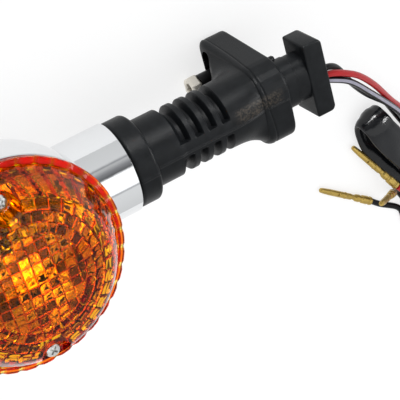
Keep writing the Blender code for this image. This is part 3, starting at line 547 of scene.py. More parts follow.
def faceted_with_painted_reflections(made):
    """Tints the inside of the lens prism by prism: red-orange at the edges and bars, and some prisms painted
    near black, a painted dark reflection of the surroundings they show.
    """
    tree = made.node_tree
    x, y, z = from_stem(tree)
    turn = turn_in_prisms(tree, x, y)
    radius = calc(tree, "SQRT", calc(tree, "MULTIPLY_ADD", x, x, times(tree, y, y)))
    in_grid = calc(tree, "LESS_THAN", radius, GRID_R)
    in_wall = calc(tree, "GREATER_THAN", radius, WALL_R)
    ring = calc(tree, "DIVIDE", calc(tree, "SUBTRACT", radius, GRID_R), PRISM)
    odd = times(tree, calc(tree, "MODULO", calc(tree, "FLOOR", ring), 2.0), 0.5)
    slanted = calc(tree, "MULTIPLY_ADD", calc(tree, "SUBTRACT", z, LENS_RIM_Z), BAR_SLANT / WALL_RISE, turn)
    across = choose(tree, in_wall, slanted, calc(tree, "ADD", turn, odd))
    across = choose(tree, in_grid, calc(tree, "DIVIDE", x, PRISM), across)
    along = choose(tree, in_grid, calc(tree, "DIVIDE", y, PRISM), ring)
    sides = calc(tree, "PINGPONG", across, 0.5)
    sides = calc(tree, "MULTIPLY_ADD", in_wall, times(tree, sides, -0.72), sides)
    ends = calc(tree, "MAXIMUM", calc(tree, "PINGPONG", along, 0.5), in_wall)
    line = span(tree, calc(tree, "MINIMUM", sides, ends), 0.045, 0.085, 1.0, 0.0)
    cell = node(tree, "CombineXYZ", {"X": calc(tree, "FLOOR", across), "Y": calc(tree, "FLOOR", along),
                                     "Z": in_wall}).outputs["Vector"]
    # a random pick per prism; on the wall the pick is halved, so more windows get the painted dark reflection
    painted_reflection_or_tint = node(tree, "TexWhiteNoise", {"Vector": cell}).outputs["Value"]
    painted_reflection_or_tint = calc(tree, "MULTIPLY_ADD", in_wall, times(tree, painted_reflection_or_tint, -0.5), painted_reflection_or_tint)
    # colour per prism: near black is a painted dark reflection; the orange and the near clear ones are the
    # plastic's own tint
    tint = ramp(tree, painted_reflection_or_tint, [(0.0, (0.045, 0.018, 0.01, 1.0)), (0.24, (0.92, 0.60, 0.35, 1.0)),
                               (0.62, (1.0, 0.97, 0.85, 1.0))], "CONSTANT")
    tint = mixed(tree, line, tint, (1.0, 0.10, 0.01, 1.0))
    inside = node(tree, "Attribute", attribute_name="inside").outputs["Fac"]
    return shade(made, {"Base Color": mixed(tree, inside, (1.0, 0.96, 0.88, 1.0), tint)})


def spotted(made):
    """Tints the lens's rim red-orange, with a clear yellow spot at every notch."""
    tree = made.node_tree
    x, y, _ = from_stem(tree)
    wave = calc(tree, "PINGPONG", calc(tree, "ADD", turn_in_prisms(tree, x, y), 0.25), 0.5)
    spot = calc(tree, "GREATER_THAN", wave, 0.34)
    return shade(made, {"Base Color": mixed(tree, spot, (1.0, 0.28, 0.06, 1.0), (1.0, 1.0, 0.9, 1.0))})


def dusty(rubber):
    """The rubber with a worn, sandy patch above the parting line, over the flare and the flange."""
    made = rubber.copy()
    made.name = "worn_rubber"
    tree = made.node_tree
    x, y, z = from_stem(tree)
    turn = calc(tree, "ARCTAN2", y, z)
    patch = times(tree, band(tree, turn, math.radians(1), math.radians(24), math.radians(3)),
                  band(tree, x, 0.0985, 0.1185, 0.0015))
    mask = times(tree, patch, span(tree, noise(tree, 1500.0, 4.0), 0.42, 0.66, 0.0, 1.0))
    clean = tree.nodes["Principled BSDF"].inputs["Base Color"].links[0].from_socket
    return shade(made, {"Base Color": mixed(tree, mask, clean, (0.034, 0.028, 0.022, 1.0))})


def with_painted_dark_reflections(bright):
    """The reflector's metal with soft painted dark patches, a painted reflection of dark surroundings, which
    the prisms break up.
    """
    tree = bright.node_tree
    # the near-black stop is the painted dark reflection, the light stop the bright metal
    stops = [(0.36, (0.05, 0.035, 0.025, 1.0)), (0.44, (0.95, 0.92, 0.86, 1.0))]
    return shade(bright, {"Base Color": ramp(tree, noise(tree, 230.0, 1.0), stops)})


MATERIALS = {
    "amber": faceted_with_painted_reflections(clear_plastic("amber_plastic", (0.997, 0.934, 0.0, 1.0), 1750.0, 0.03)),
    "glass": clear_plastic("bulb_clear_glass", (1.0, 1.0, 1.0, 1.0), 0.0, 0.0, 1.5),
    "chrome": surface("chrome_plate", (0.77, 0.78, 0.79), 0.045, 1.0, 0.0012, 0.008, 0.02, 0.015),
    "rubber": surface("moulded_rubber", (0.0040, 0.0046, 0.0053), 0.38, 0.0, 0.00022, 0.20, 0.25, 0.08,
                      specular=0.12),
    "steel": surface("zinc_plate", (0.66, 0.66, 0.64), 0.28, 1.0, 0.0003, 0.10, 0.10, 0.10),
    "nut": surface("nut_zinc", (0.78, 0.74, 0.66), 0.42, 0.7, 0.0004, 0.10, 0.10, 0.08),
    "brass": surface("terminal_brass", (0.46, 0.32, 0.085), 0.36, 0.92, 0.0004, 0.16, 0.16, 0.12),
    "reflector": with_painted_dark_reflections(surface("reflector_bright_painted_dark_patches", (0.90, 0.88, 0.84), 0.12, 1.0, 0.00032,
                                  0.04, 0.03, 0.05)),
    "oxide": surface("black_oxide", (0.010, 0.010, 0.011), 0.45, 0.6, 0.0003, 0.10, 0.20, 0.08),
    "rim": spotted(clear_plastic("amber_rim", (0.995, 0.84, 0.0, 1.0), 1300.0, 0.03)),
    "seal": surface("lens_seal", (0.50, 0.045, 0.010), 0.35, 0.0, 0.0004, 0.10, 0.30, 0.08),
    "fibre": surface("fibre_board", (0.20, 0.10, 0.05), 0.75, 0.0, 0.0003, 0.30, 0.20, 0.10),
    "tungsten": surface("filament_metal", (0.35, 0.35, 0.37), 0.40, 1.0, 0.0002, 0.10, 0.10, 0.08),
    "lead_red": surface("red_insulation", (0.40, 0.005, 0.008), 0.34, 0.0, 0.0005, 0.06, 0.12, 0.06,
                        specular=0.3),
    "lead_black": surface("black_insulation", (0.004, 0.004, 0.005), 0.34, 0.0, 0.0005, 0.06, 0.15, 0.06,
                          specular=0.15),
    "stripe": surface("tracer_stripe", (0.30, 0.29, 0.36), 0.40, 0.0, 0.0005, 0.06, 0.12, 0.06),
    "sleeve": surface("sleeve_pvc", (0.0045, 0.005, 0.006), 0.17, 0.0, 0.0010, 0.10, 0.20, 0.06,
                      specular=0.34),
}


# ---- leads, sleeve and terminals ---------------------------------------------------------------
def tube(name, path, radius, sides, material, across=Vector((0, 0, 1)), stripe=None):
    """A round lead along a path; stripe is (material, middle angle, half width in degrees)."""
    frames = travelling_frames(path, across)
    rings = [[point + radius * (side * math.cos(angle) + up * math.sin(angle)) for angle in circle(sides)]
             for point, side, up in frames]
    verts, faces = skin(rings)
    made = link_mesh(name, verts, faces, material, 50)
    if stripe:
        made.data.materials.append(stripe[0])
        tracks = [Vector(point) for point in path]
        for face in made.data.polygons:
            index = min(range(len(tracks)), key=lambda k: (tracks[k] - face.center).length_squared)
            point, side, up = frames[index]
            out = face.center - point
            angle = math.degrees(math.atan2(out.dot(up), out.dot(side)))
            if abs(angle - stripe[1]) <= stripe[2]:
                face.material_index = 1
    return made


def inside_sleeve(offset):
    """The stretch of a lead inside the folded sleeve, from the upper mouth to the lower one."""
    path = smooth_route(SLEEVE_ROUTE, 0.003)
    return [point + side * offset for point, side, _ in travelling_frames(path, SLEEVE_WIDTH_AXIS)][1:-1]


def insulation(colour):
    return MATERIALS["lead_red" if colour == "red" else "lead_black"]


def make_leads():
    leads = {}
    for colour, route in ROUTES.items():
        start = [Vector(point) for point in route]
        hidden = inside_sleeve(LEAD_OFFSETS[colour])
        tail = [Vector(point) for point in TAILS[colour]]
        path = smooth_route(start + hidden[::3] + [hidden[-1]] + tail, 0.0016)
        path = [Vector((point.x, point.y, max(point.z, FREE_LEAD_R))) for point in path]
        stripe = (MATERIALS["stripe"], 5, 30) if colour == "tracer" else None
        lead = tube("free_lead_" + colour, path, FREE_LEAD_R, 14, insulation(colour), stripe=stripe)
        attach(lead, "mount")
        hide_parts("lead_" + colour, "lead_" + colour + "_tail")
        leads[colour] = (lead, path)
    return leads


def squared(value, power):
    """A sine or cosine pushed towards a squarer section."""
    return math.copysign(abs(value) ** power, value)


def sleeve_ring(point, side, up, half_width, half_thick, wave, lowest):
    """A flattened section with a soft dent along its middle, pressed flat where it meets the floor."""
    ring = []
    for angle in circle(28):
        wide = squared(math.cos(angle), 0.7)
        thick = squared(math.sin(angle), 0.9)
        dent = 1.0 - 0.15 * math.exp(-((wide - wave) / 0.28) ** 2)
        fold = 0.00042 * math.sin(3.2 * wide + 5.0 * wave) + 0.00022 * math.sin(7.5 * wide - 9.0 * wave)
        place = point + side * wide * half_width + up * (thick * half_thick * dent + fold * (1 - wide ** 2))
        ring.append(Vector((place.x, place.y, max(place.z, lowest))))
    return ring


def make_sleeve():
    """Soft sleeve, folded once over the three leads: outer and inner skin, open at both mouths."""
    path = smooth_route(SLEEVE_ROUTE, 0.0014)
    frames = travelling_frames(path, SLEEVE_WIDTH_AXIS)
    outer, inner = [], []
    for index, (point, side, up) in enumerate(frames):
        share = index / (len(frames) - 1)
        wave = 0.35 * math.sin(9.0 * share + 0.6) + 0.1 * math.sin(31.0 * share)
        width = 0.0064 + 0.0002 * math.sin(23.0 * share)
        outer.append(sleeve_ring(point, side, up, width, 0.00185, wave, 0.0001))
        inner.append(sleeve_ring(point, side, up, width - 0.0004, 0.00150, wave, 0.0004))
    verts, faces = skin(outer + inner[::-1] + [outer[0]], close_ends=False)
    sleeve = link_mesh("lead_sleeve", verts, faces, MATERIALS["sleeve"], 60)
    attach(sleeve, "mount")
    LIT["rubber_lit"].objects.link(sleeve)
    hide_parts("harness_sleeve")
    return sleeve


def make_terminal(colour, nose, tail):
    """Folded bullet terminal: tapering slit barrel, waist with a window, and a rolled crimp."""
    nose = Vector(nose)
    run = Vector(tail) - nose
    length = run.length
    waist = length * 0.60
    nick = waist * 0.55
    barrel, crimp = 0.00135, 0.00185
    profile = [(0, 0), (0.0008, 0.0001), (0.00105, 0.0005), (0.0012, 0.0022), (barrel, 0.0052),
               (barrel, waist - 0.0036), (barrel * 1.10, waist - 0.0034), (barrel * 1.10, waist - 0.0028),
               (barrel, waist - 0.0026), (barrel, waist), (barrel * 0.86, waist + 0.0004),
               (barrel * 0.86, waist + 0.0018), (crimp * 0.84, waist + 0.0026),
               (crimp * 0.90, waist + 0.0044),
               (crimp * 0.78, waist + 0.0049), (crimp * 0.78, waist + 0.0056), (crimp * 0.95, waist + 0.0060),
               (crimp, length - 0.0022), (crimp * 0.88, length - 0.0019), (crimp * 0.88, length - 0.0015),
               (crimp, length - 0.0012), (crimp, length - 0.0002), (crimp * 0.90, length), (0, length)]
    body = lathe("bullet_terminal_" + colour, profile, 10, (0, 0, 0), "Z", MATERIALS["brass"], 20)
    bevel(body, 0.00012, 2)
    cuts = [
        box_mesh("slit", (-0.00022, 0.0002, 0.0026), (0.00022, 0.003, waist - 0.0040)),
        box_mesh("seam", (-0.00026, 0.0009, waist + 0.0030), (0.00026, 0.003, length + 0.001)),
        box_mesh("window", (-0.0009, 0.00075, waist + 0.0003), (0.0009, 0.003, waist + 0.0019)),
        box_mesh("nick", (0.00085, -0.0008, nick), (0.003, 0.0004, nick + 0.0007)),
    ]
    boolean(body, cuts, "DIFFERENCE")
    dress(body, MATERIALS["brass"], 20)
    turn = Vector((0, 0, 1)).rotation_difference(run).to_matrix().to_4x4()
    body.data.transform(Matrix.Translation(nose) @ turn @ Matrix.Rotation(math.radians(150), 4, "Z"))
    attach(body, "mount")
    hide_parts("terminal_" + colour)
    return body


def box_mesh(name, low, high):
    size = Vector(high) - Vector(low)
    middle = (Vector(high) + Vector(low)) / 2
    work = bmesh.new()
    bmesh.ops.create_cube(work, size=1.0, matrix=Matrix.Translation(middle) @ Matrix.Diagonal((*size, 1.0)))
    mesh = bpy.data.meshes.new(name)
    work.to_mesh(mesh)
    work.free()
    return placed(name, mesh)


def make_harness():
    leads = make_leads()
    sleeve = make_sleeve()
    for colour, (lead, path) in leads.items():
        terminal = make_terminal(colour, *TERMINALS[colour])


def make_captive_leads():
    for colour, core in CORES.items():
        path = [point + STEM for point in smooth_route(core, 0.0016)]
        name = "lead_" + colour
        piece = tube("captive_lead_" + colour, path, LEAD_R, 12, insulation(colour), Vector((0, 1, 0)))
        blend_over_bellows(piece)
        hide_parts(name + "_inner")


def blend_over_bellows(piece):
    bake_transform(piece)


# ---- lens --------------------------------------------------------------------------------------
LENS_OUTER = [(0, 0.0475), (0.006, 0.04735), (0.010, 0.0471), (0.0145, 0.0466), (0.019, 0.0460),
              (0.022, 0.0454), (0.025, 0.0446),
              (0.027, 0.0439), (0.0282, 0.0432), (0.0291, 0.0424), (0.0300, 0.0414),
              (0.0310, 0.0400), (0.0322, 0.0384), (0.0334, 0.0363), (0.0346, 0.0342), (0.0354, 0.0329),
              (0.0360, 0.0318), (0.0363, 0.0312), (0.0364, 0.0300), (0.0364, LENS_RIM_Z)]
LENS_INNER = [(0.0346, LENS_RIM_Z), (0.0342, 0.0302), (0.0330, 0.0326), (0.0306, 0.0368), (0.0288, 0.0398),
              (0.0272, 0.0412), (0.0250, 0.0422), (0.0190, 0.0437), (0.0100, 0.0448), (0.0, 0.0452)]
WELL_KEEP_R = 0.0066               # the prisms stop this far from a screw's axis
WELL_FLOOR_Z = 0.0335              # underside of the lens round a screw well


def resample(points, spacing):
    """Points along a polyline, no further apart than the spacing."""
    made = [points[0]]
    for one, two in zip(points, points[1:]):
        length = math.dist(one, two)
        count = max(1, math.ceil(length / spacing))
        for step in range(1, count + 1):
            share = step / count
            made.append((one[0] + (two[0] - one[0]) * share, one[1] + (two[1] - one[1]) * share))
    return made


def cell_noise(*key):
    """A repeatable number from 0 to 1 for one prism."""
    return random.Random(hash(key)).random()


def pillow(share):
    return 1.0 - (2.0 * share - 1.0) ** 2


def prism_depth(radius, height, angle):
    """How far the inside of the lens stands out of its plain shell, in metres."""
    x, y = radius * math.cos(angle), radius * math.sin(angle)
    turn = angle / math.tau * SECTORS
    sector = math.floor(turn) % SECTORS
    across = turn - math.floor(turn)
    if radius < GRID_R - 0.0004:
        column, row = math.floor(x / PRISM), math.floor(y / PRISM)
        u, v = x / PRISM - column, y / PRISM - row
        tilt = (cell_noise(column, row, 1) - 0.5) * (u - 0.5) + (cell_noise(column, row, 2) - 0.5) * (v - 0.5)
        return 0.00045 * (pillow(u) * pillow(v)) ** 0.4 + 0.0011 * tilt + 0.0006
    if radius < WALL_R:
        ring = math.floor((radius - GRID_R) / PRISM)
        v = (radius - GRID_R) / PRISM - ring
        u = (across + 0.5 * (ring % 2)) % 1.0
        lean = cell_noise(sector, ring, 3)
        return 0.0006 * (pillow(u) * pillow(v)) ** 0.4 + 0.0010 * v * (0.2 + 0.8 * lean)
    rise = (height - LENS_RIM_Z) / WALL_RISE
    slanted = (turn + BAR_SLANT * rise) % 1.0
    return 0.0013 * min(1.0, 2.2 * pillow(slanted) ** 2)


def screw_centre(side):
    """The foot of a lens screw's axis, at the height of the stem's axis."""
    return STEM + Vector((SCREW_X, side * SCREW_PITCH_R, 0))


def prism_point(radius, height, angle, inward):
    """A place (radius, height) on the lens's inside, pushed in by its prism and flat round the wells."""
    depth = prism_depth(radius, height, angle) if height > LENS_RIM_Z + 0.0006 else 0.0
    place = (radius * math.cos(angle), radius * math.sin(angle))
    near_well = min(math.dist(place, (SCREW_X, side * SCREW_PITCH_R)) for side in (1, -1))
    height += inward.y * depth
    if near_well < WELL_KEEP_R:
        return radius, min(height, WELL_FLOOR_Z)
    return radius + inward.x * depth, height


def lens_mesh():
    """The lens's solid: smooth outside, prisms inside, as one closed skin over turned rings."""
    angles = circle(SECTORS * 10)
    inner = resample(LENS_INNER, 0.00042)
    rings = [[place] * len(angles) for place in resample(LENS_OUTER, 0.0012) + [(0.0356, LENS_RIM_Z)]]
    for index, (radius, height) in enumerate(inner):
        before = inner[max(index - 1, 0)]
        after = inner[min(index + 1, len(inner) - 1)]
        run = Vector((after[0] - before[0], after[1] - before[1])).normalized()
        inward = Vector((run.y, -run.x)) * -1.0
        if inward.x > 0 or inward.y > 0.2:
            inward = -inward
        rings.append([prism_point(radius, height, angle, inward) for angle in angles])
    rings = [[STEM + polar(max(radius, 1e-7), angle, height) for (radius, height), angle in zip(ring, angles)]
             for ring in rings]
    return skin(rings, close_ends=False)


def make_rim():
    """Flat outer rim of the lens, with a small step at every prism."""
    profile = [(0.0388, LENS_RIM_Z), (LENS_R, 0.0290), (LENS_R, 0.0301), (0.0389, 0.0305), (0.0386, 0.0307),
               (0.0372, 0.0307), (0.0366, 0.0306), (0.0365, 0.0303), (0.0365, LENS_RIM_Z)]
    rings = []
    for angle in circle(SECTORS * 8):
        drop = 0.0009 * max(0.0, math.sin(angle * SECTORS)) ** 2
        rings.append([STEM + polar(radius, angle, height - (drop if height > 0.0300 else 0.0))
                      for radius, height in profile])
    verts, faces = skin(rings + [rings[0]], close_ends=False)
    rim = link_mesh("amber_lens_rim", verts, faces, MATERIALS["rim"], 30)
    LIT["lens_lit"].objects.link(rim)
    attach(rim, "lamp_head")
    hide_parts("lens")


def make_lens():
    verts, faces = lens_mesh()
    lens = link_mesh("amber_lens", verts, faces, MATERIALS["amber"], 28)
    well = [(0, 0.06), (0.0062, 0.06), (0.0058, 0.0436), (0.0052, 0.0400), (0.0044, SCREW_SEAT_Z + 0.0004),
            (0.0038, SCREW_SEAT_Z), (0.0019, SCREW_SEAT_Z), (0.0019, 0.025), (0, 0.025)]
    boolean(lens, [lathe("well", well, 64, screw_centre(side)) for side in (1, -1)], "DIFFERENCE")
    smooth(lens, 28)
    heart = STEM + Vector((0, 0, 0.010))
    inside = lens.data.attributes.new("inside", "FLOAT", "FACE")
    LIT["lens_lit"].objects.link(lens)
    for face, flag in zip(lens.data.polygons, inside.data):
        flag.value = 1.0 if face.normal.dot(face.center - heart) < 0 else 0.0
    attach(lens, "lamp_head")
    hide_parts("lens")


# ---- chrome housing ----------------------------------------------------------------------------
def cup_profile(radius, rim, tip, flat):
    """Side and rounded bottom of the cup, down to a small flat."""
    profile = [(radius, rim), (radius, CUP_SHOULDER_Z)]
    depth = CUP_SHOULDER_Z - tip
    for step in range(1, 40):
        part = (step / 40) ** 0.8
        profile.append((max(radius * (1 - part ** 1.7) ** 0.8, flat), CUP_SHOULDER_Z - depth * part))
    return profile + [(flat, tip), (0, tip)]


def make_housing():
    """Plated cup with its side neck."""
    tip = -STEM_Z
    rim = [(0, CUP_RIM_Z), (CUP_R - 0.0003, CUP_RIM_Z), (CUP_R, CUP_RIM_Z - 0.0003)]
    body = lathe("chrome_housing", rim + cup_profile(CUP_R, CUP_RIM_Z - 0.0006, tip, 0.0030), 180, STEM)
    neck = lathe("neck", [(0, NECK_END_X), (NECK_R - 0.0003, NECK_END_X), (NECK_R, NECK_END_X - 0.0003),
                          (NECK_R, 0.018), (0, 0.018)], 144, STEM, "X")
    boolean(body, [neck], "UNION")
    top = CUP_RIM_Z + 0.002
    inside = [(0, top)] + cup_profile(CUP_R - CUP_WALL, top, tip + CUP_WALL, 0.0020)
    hollow = lathe("hollow", inside, 96, STEM)
    bore = drill("bore", NECK_BORE_R, 0.012, 0.07, (0, 0), 96)
    boolean(body, [hollow, bore], "DIFFERENCE")
    posts = []
    pilots = []
    half = 0.0012                      # half the thickness of a post's web
    for side in (1, -1):
        posts.append(rod("post", 0.0034, 0.004, 0.0150, screw_centre(side), 40))
        inner, outer = sorted((side * 0.0318, side * (CUP_R - CUP_WALL / 2)))
        posts.append(box_mesh("web", STEM + Vector((SCREW_X - half, inner, 0.0122)),
                              STEM + Vector((SCREW_X + half, outer, 0.0145))))
        pilots.append(rod("pilot", 0.00175, 0.0075, 0.03, screw_centre(side), 32))
    pilots.append(rod("screw_hole", 0.0021, -0.022, -0.012, STEM + Vector((0.047, 0, 0)), 32))
    boolean(body, posts, "UNION")
    boolean(body, pilots, "DIFFERENCE")
    dress(body, MATERIALS["chrome"], 25)
    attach(body, "lamp_head")
    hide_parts("housing")


# ---- rubber stem -------------------------------------------------------------------------------
def rounded_outline(corners, steps):
    """Points of a convex outline whose corners (y, z, radius) are rounded by arcs."""
    made = []
    count = len(corners)
    for index, (y, z, radius) in enumerate(corners):
        here = Vector((y, z))
        back = (Vector(corners[index - 1][:2]) - here).normalized()
        ahead = (Vector(corners[(index + 1) % count][:2]) - here).normalized()
        half = back.angle(ahead) / 2
        middle = here + (back + ahead).normalized() * (radius / math.sin(half))
        start = here + back * (radius / math.tan(half)) - middle
        end = here + ahead * (radius / math.tan(half)) - middle
        first = math.atan2(start.y, start.x)
        sweep = (math.atan2(end.y, end.x) - first + math.pi) % math.tau - math.pi
        for step in range(steps + 1):
            angle = first + sweep * step / steps
            made.append(middle + radius * Vector((math.cos(angle), math.sin(angle))))
    return made


FLANGE_CORNERS = [
    (0.0153, -STEM_Z, 0.0042), (0.0131, 0.0124, 0.0115), (-0.0182, 0.0096, 0.0080),
    (-0.0182, -0.0090, 0.0085), (-0.0070, -STEM_Z, 0.0035),
]
WEB_ANGLE = math.radians(3)        # middle of the plain strip along the ribs, from +Z towards +Y
WEB_HALF = math.radians(12)
PARTING_ANGLE = math.radians(-2.5)
BOOT_SIDES = 240
FLARE_SHARE = 0.94                 # how far the flare heads towards the flange's outline
EDGE_ROUND = 0.0010                # rounding of the flange's back edge
LEAD_BORE_R = 0.0036
LEAD_BORE_PLACE = (-0.0034, 0.0020)
RECESS_END_X = 0.1170              # bottom of the bolt recess
FOOT_HALF_Y = 0.0097
FOOT_HALF_Z = 0.0071
FOOT_STEP = 0.965                  # the foot's neck is this much slimmer past its step


def outline_radius(angle, outline):
    """Distance from the stem's axis to the flange's outline, in one direction."""
    ray = Vector((math.sin(angle), math.cos(angle)))
    best = 0.0
    for one, two in zip(outline, outline[1:] + outline[:1]):
        edge = two - one
        bottom = ray.x * edge.y - ray.y * edge.x
        if abs(bottom) < 1e-12:
            continue
        along = (one.x * edge.y - one.y * edge.x) / bottom
        share = (one.x * ray.y - one.y * ray.x) / bottom
        if along > 0 and -1e-6 <= share <= 1 + 1e-6:
            best = max(best, along)
    return best


def groove(x, angle):
    """Depth of the bellows grooves at a place along the stem; they end at a plain strip."""
    centre = (BELLOWS_START_X + BELLOWS_END_X) / 2
    off = (angle - WEB_ANGLE + math.pi) % math.tau - math.pi
    fade = min(1.0, max(0.0, (abs(off) - WEB_HALF) / math.radians(3)))
    depth = 0.0
    for place in (-1.5, -0.5, 0.5, 1.5):
        away = abs(x - centre - place * RIB_PITCH)
        part = min(1.0, max(0.0, (GROOVE_HALF + 0.0006 - away) / 0.0012))
        depth = max(depth, part * part * (3 - 2 * part))
    return fade * depth * (RIB_R - GROOVE_R)


def boot_radius(x, angle, flange):
    """Outer radius of the rubber stem at a place along it and an angle round it."""
    flare = flange * FLARE_SHARE - RIB_R
    seam = (angle - PARTING_ANGLE + math.pi) % math.tau - math.pi
    bead = 0.00032 * math.exp(-(seam / math.radians(1.5)) ** 2)
    if x < COLLAR_END_X:
        edge = min(x - NECK_END_X - 0.0003, COLLAR_END_X - x)
        soft = 0.0014
        drop = soft - math.sqrt(max(0.0, soft ** 2 - (soft - min(soft, max(0.0, edge))) ** 2))
        return COLLAR_R - drop + bead
    if x < BELLOWS_START_X:
        return BARREL_R + bead
    if x < BELLOWS_END_X + 0.0006:
        return RIB_R + bead - groove(x, angle)
    if x < FLANGE_X:
        share = (x - BELLOWS_END_X - 0.0006) / (FLANGE_X - BELLOWS_END_X - 0.0006)
        spread = 0.06 * share + 0.80 * share ** 3.4
        return RIB_R + flare * spread + bead
    over = x - FLANGE_X
    soft = 0.0012 + 0.0016 * max(0.0, -math.sin(angle)) + 0.0014 * max(0.0, -math.cos(angle))
    lip = min(1.0, over / soft)
    low = RIB_R + flare * 0.86
    if over < soft:
        return low + (flange - low) * math.sqrt(1 - (1 - lip) ** 2)
    end = FLANGE_BACK_X - x
    if end < EDGE_ROUND:
        return flange - EDGE_ROUND + math.sqrt(max(0.0, EDGE_ROUND ** 2 - (EDGE_ROUND - end) ** 2))
    return flange + bead - 0.00030 * math.exp(-((over - soft - 0.0006) / 0.00028) ** 2)


def boot_places():
    """Stations along the stem, closer together at edges and grooves."""
    start = NECK_END_X + 0.0003
    places = [start + 0.0001 * k for k in range(0, 16, 3)]
    places += [start + 0.002 + 0.0008 * k for k in range(7)]
    places += [COLLAR_END_X - 0.0014 + 0.0002 * k for k in range(8)]
    places += [COLLAR_END_X + 0.0001 + 0.0014 * k for k in range(9)]
    fine = 0.00016
    count = int((BELLOWS_END_X + 0.001 - BELLOWS_START_X) / fine)
    places += [BELLOWS_START_X + fine * k for k in range(count)]
    places += [BELLOWS_END_X + 0.0012 + 0.0006 * k for k in range(23)]
    places += [FLANGE_X - 0.0001]
    places += [FLANGE_X + 0.0001 * k for k in (0.01, 1, 2.5)]
    places += [FLANGE_X + 0.0002 * k for k in range(2, 27)]
    places += [FLANGE_X + 0.0060 + 0.0011 * k for k in range(5)]
    places += [FLANGE_BACK_X - 0.0001 * k for k in (10, 7, 4.5, 2.5, 1, 0)]
    return sorted(set(round(place, 7) for place in places))


def make_boot():
    """The moulded rubber from the collar to the flange, with the bolt pocket cut into its lobe."""
    outline = rounded_outline(FLANGE_CORNERS, 8)
    sides = [(angle, outline_radius(angle, outline)) for angle in circle(BOOT_SIDES)]
    rings = []
    for x in boot_places():
        ring = []
        for angle, flange in sides:
            radius = boot_radius(x, angle, flange)
            ring.append(STEM + Vector((x, radius * math.sin(angle), radius * math.cos(angle))))
        rings.append(ring)
    verts, faces = skin(rings)
    boot = link_mesh("rubber_boot", verts, faces, MATERIALS["rubber"], 38)
    cuts = [
        drill("recess", 0.0055, 0.090, RECESS_END_X, (0.0068, -0.0262), 96),
        drill("seat", 0.0052, 0.090, RECESS_END_X, (0, NUT_Z), 64),
        drill("bolt", 0.0033, 0.110, 0.130, (0, NUT_Z), 48),
        drill("stem_bore", 0.0064, 0.040, 0.112, (0, 0), 48),
        drill("lead_bore", LEAD_BORE_R, 0.100, 0.130, LEAD_BORE_PLACE, 40),
    ]
    boolean(boot, cuts, "DIFFERENCE")
    dress(boot, dusty(MATERIALS["rubber"]), 38)
    LIT["rubber_lit"].objects.link(boot)
    blend_over_bellows(boot)
    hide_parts("boot_collar", "bellows", "boot_flange", "boot_lobe")


def round_far_edges(piece, far_x, radius):
    """Round a box's upright edges at its far face."""
    work = bmesh.new()
    work.from_mesh(piece.data)
    edges = [edge for edge in work.edges
             if all(abs(vert.co.x - far_x) < 1e-6 for vert in edge.verts)
             and abs(edge.verts[0].co.z - edge.verts[1].co.z) > 0.001]
    bmesh.ops.bevel(work, geom=edges, offset=radius, segments=8, profile=0.5, affect="EDGES")
    work.to_mesh(piece.data)
    work.free()


def make_foot():
    """Foot behind the flange: oval neck with its step, and the plate the leads leave by."""
    rings = []
    for x, grow in ((FLANGE_BACK_X - 0.003, 1.0), (FLANGE_BACK_X + 0.0003, 1.0),
                    (FLANGE_BACK_X + 0.0062, 1.0), (FLANGE_BACK_X + 0.0064, FOOT_STEP),
                    (PLATE_X + 0.002, FOOT_STEP)):
        rings.append([STEM + Vector((x, squared(math.cos(angle), 0.8) * FOOT_HALF_Y * grow,
                                     squared(math.sin(angle), 0.8) * FOOT_HALF_Z * grow))
                      for angle in circle(72)])
    verts, faces = skin(rings)
    foot = link_mesh("rubber_foot", verts, faces, MATERIALS["rubber"], 38)
    plate = box_mesh("plate", STEM + Vector((PLATE_X, PLATE_LOW_Y, -PLATE_HALF_Z)),
                     STEM + Vector((PLATE_END_X, PLATE_HIGH_Y, PLATE_HALF_Z)))
    round_far_edges(plate, STEM.x + PLATE_END_X, 0.0022)
    bevel(plate, 0.0008, 4)
    nub = lathe("nub", [(0, FLANGE_BACK_X + 0.0024), (0.0009, FLANGE_BACK_X + 0.0023),
                        (0.0013, FLANGE_BACK_X + 0.0017), (0.0013, FLANGE_BACK_X - 0.002),
                        (0, FLANGE_BACK_X - 0.002)], 28, STEM + Vector((0, 0.0114, 0)), "X")
    boolean(foot, [plate, nub], "UNION")
    boolean(foot, [drill("hole", LEAD_BORE_R, 0.100, 0.150, LEAD_BORE_PLACE, 40)], "DIFFERENCE")
    dress(foot, MATERIALS["rubber"], 38)
    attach(foot, "mount")
    LIT["rubber_lit"].objects.link(foot)
    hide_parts("boot_foot")


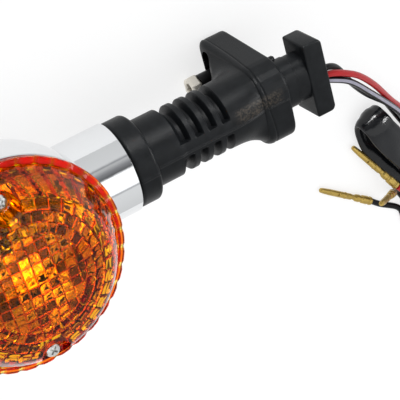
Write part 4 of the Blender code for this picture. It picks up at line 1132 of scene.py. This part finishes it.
def make_nut():
    """Zinc-plated hexagon head, and its dark shank down the recess."""
    place = STEM + Vector((0, 0, NUT_Z))
    shank = lathe("insert_shank", [(0.0029, 0.1166), (0.0038, 0.1166), (0.0038, 0.1052), (0.0029, 0.1052)],
                  48, place, "X", MATERIALS["oxide"])
    head = lathe("insert_nut", [(0.0026, 0.1048), (0.0042, 0.1048), (0.0048, 0.1043), (0.0048, 0.1014),
                                (0.0038, 0.1005), (0.0030, 0.1006), (0.0026, 0.1011)],
                 6, place, "X", MATERIALS["nut"], 25)
    bevel(head, 0.00025, 3)
    for piece in (head, shank):
        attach(piece, "mount")
        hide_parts("mount_nut")


# ---- pieces kept from the CAD model ------------------------------------------------------------
KEPT = {
    "lens_gasket": "seal", "lens_screw_upper": "steel", "lens_screw_lower": "steel", "neck_screw": "steel",
    "neck_insert": "steel", "reflector": "reflector", "socket_shell": "steel", "socket_floor": "fibre",
    "contact_disc": "fibre", "contact_left": "brass", "contact_right": "brass",
    "bulb_base": "brass", "bulb_glass": "glass", "filament_mount": "tungsten",
}


def make_spring():
    """Coil under the contact disc, as tall and wide as the model's spring."""
    model = frame["nodes"]["contact_spring"]
    places = [model.matrix_world @ vert.co for vert in model.data.vertices]
    low, high = (pick(place.z for place in places) for pick in (min, max))
    left, right = (pick(place.x for place in places) for pick in (min, max))
    middle = Vector(((left + right) / 2, 0.0, low + WIRE_R))
    steps, turns = 140, 3.5
    coil = []
    for step in range(steps + 1):
        share = step / steps
        coil.append(middle + polar((right - left) / 2 - WIRE_R, math.tau * turns * share,
                                   (high - low - 2 * WIRE_R) * share))
    spring = tube("contact_coil", coil, WIRE_R, 8, MATERIALS["steel"])
    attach(spring, "lamp_head")
    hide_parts("contact_spring")
    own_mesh(spring)


def dress_kept():
    for name, material in KEPT.items():
        dress(frame["nodes"][name], MATERIALS[material])
    LIT["lens_lit"].objects.link(frame["nodes"]["reflector"])


make_camera()
bpy.context.scene.view_settings.view_transform = "Standard"
make_world()
make_floor()
LIT = make_lights()
make_harness()
make_captive_leads()
make_lens()
make_rim()
make_housing()
make_boot()
make_foot()
make_nut()
make_spring()
dress_kept()
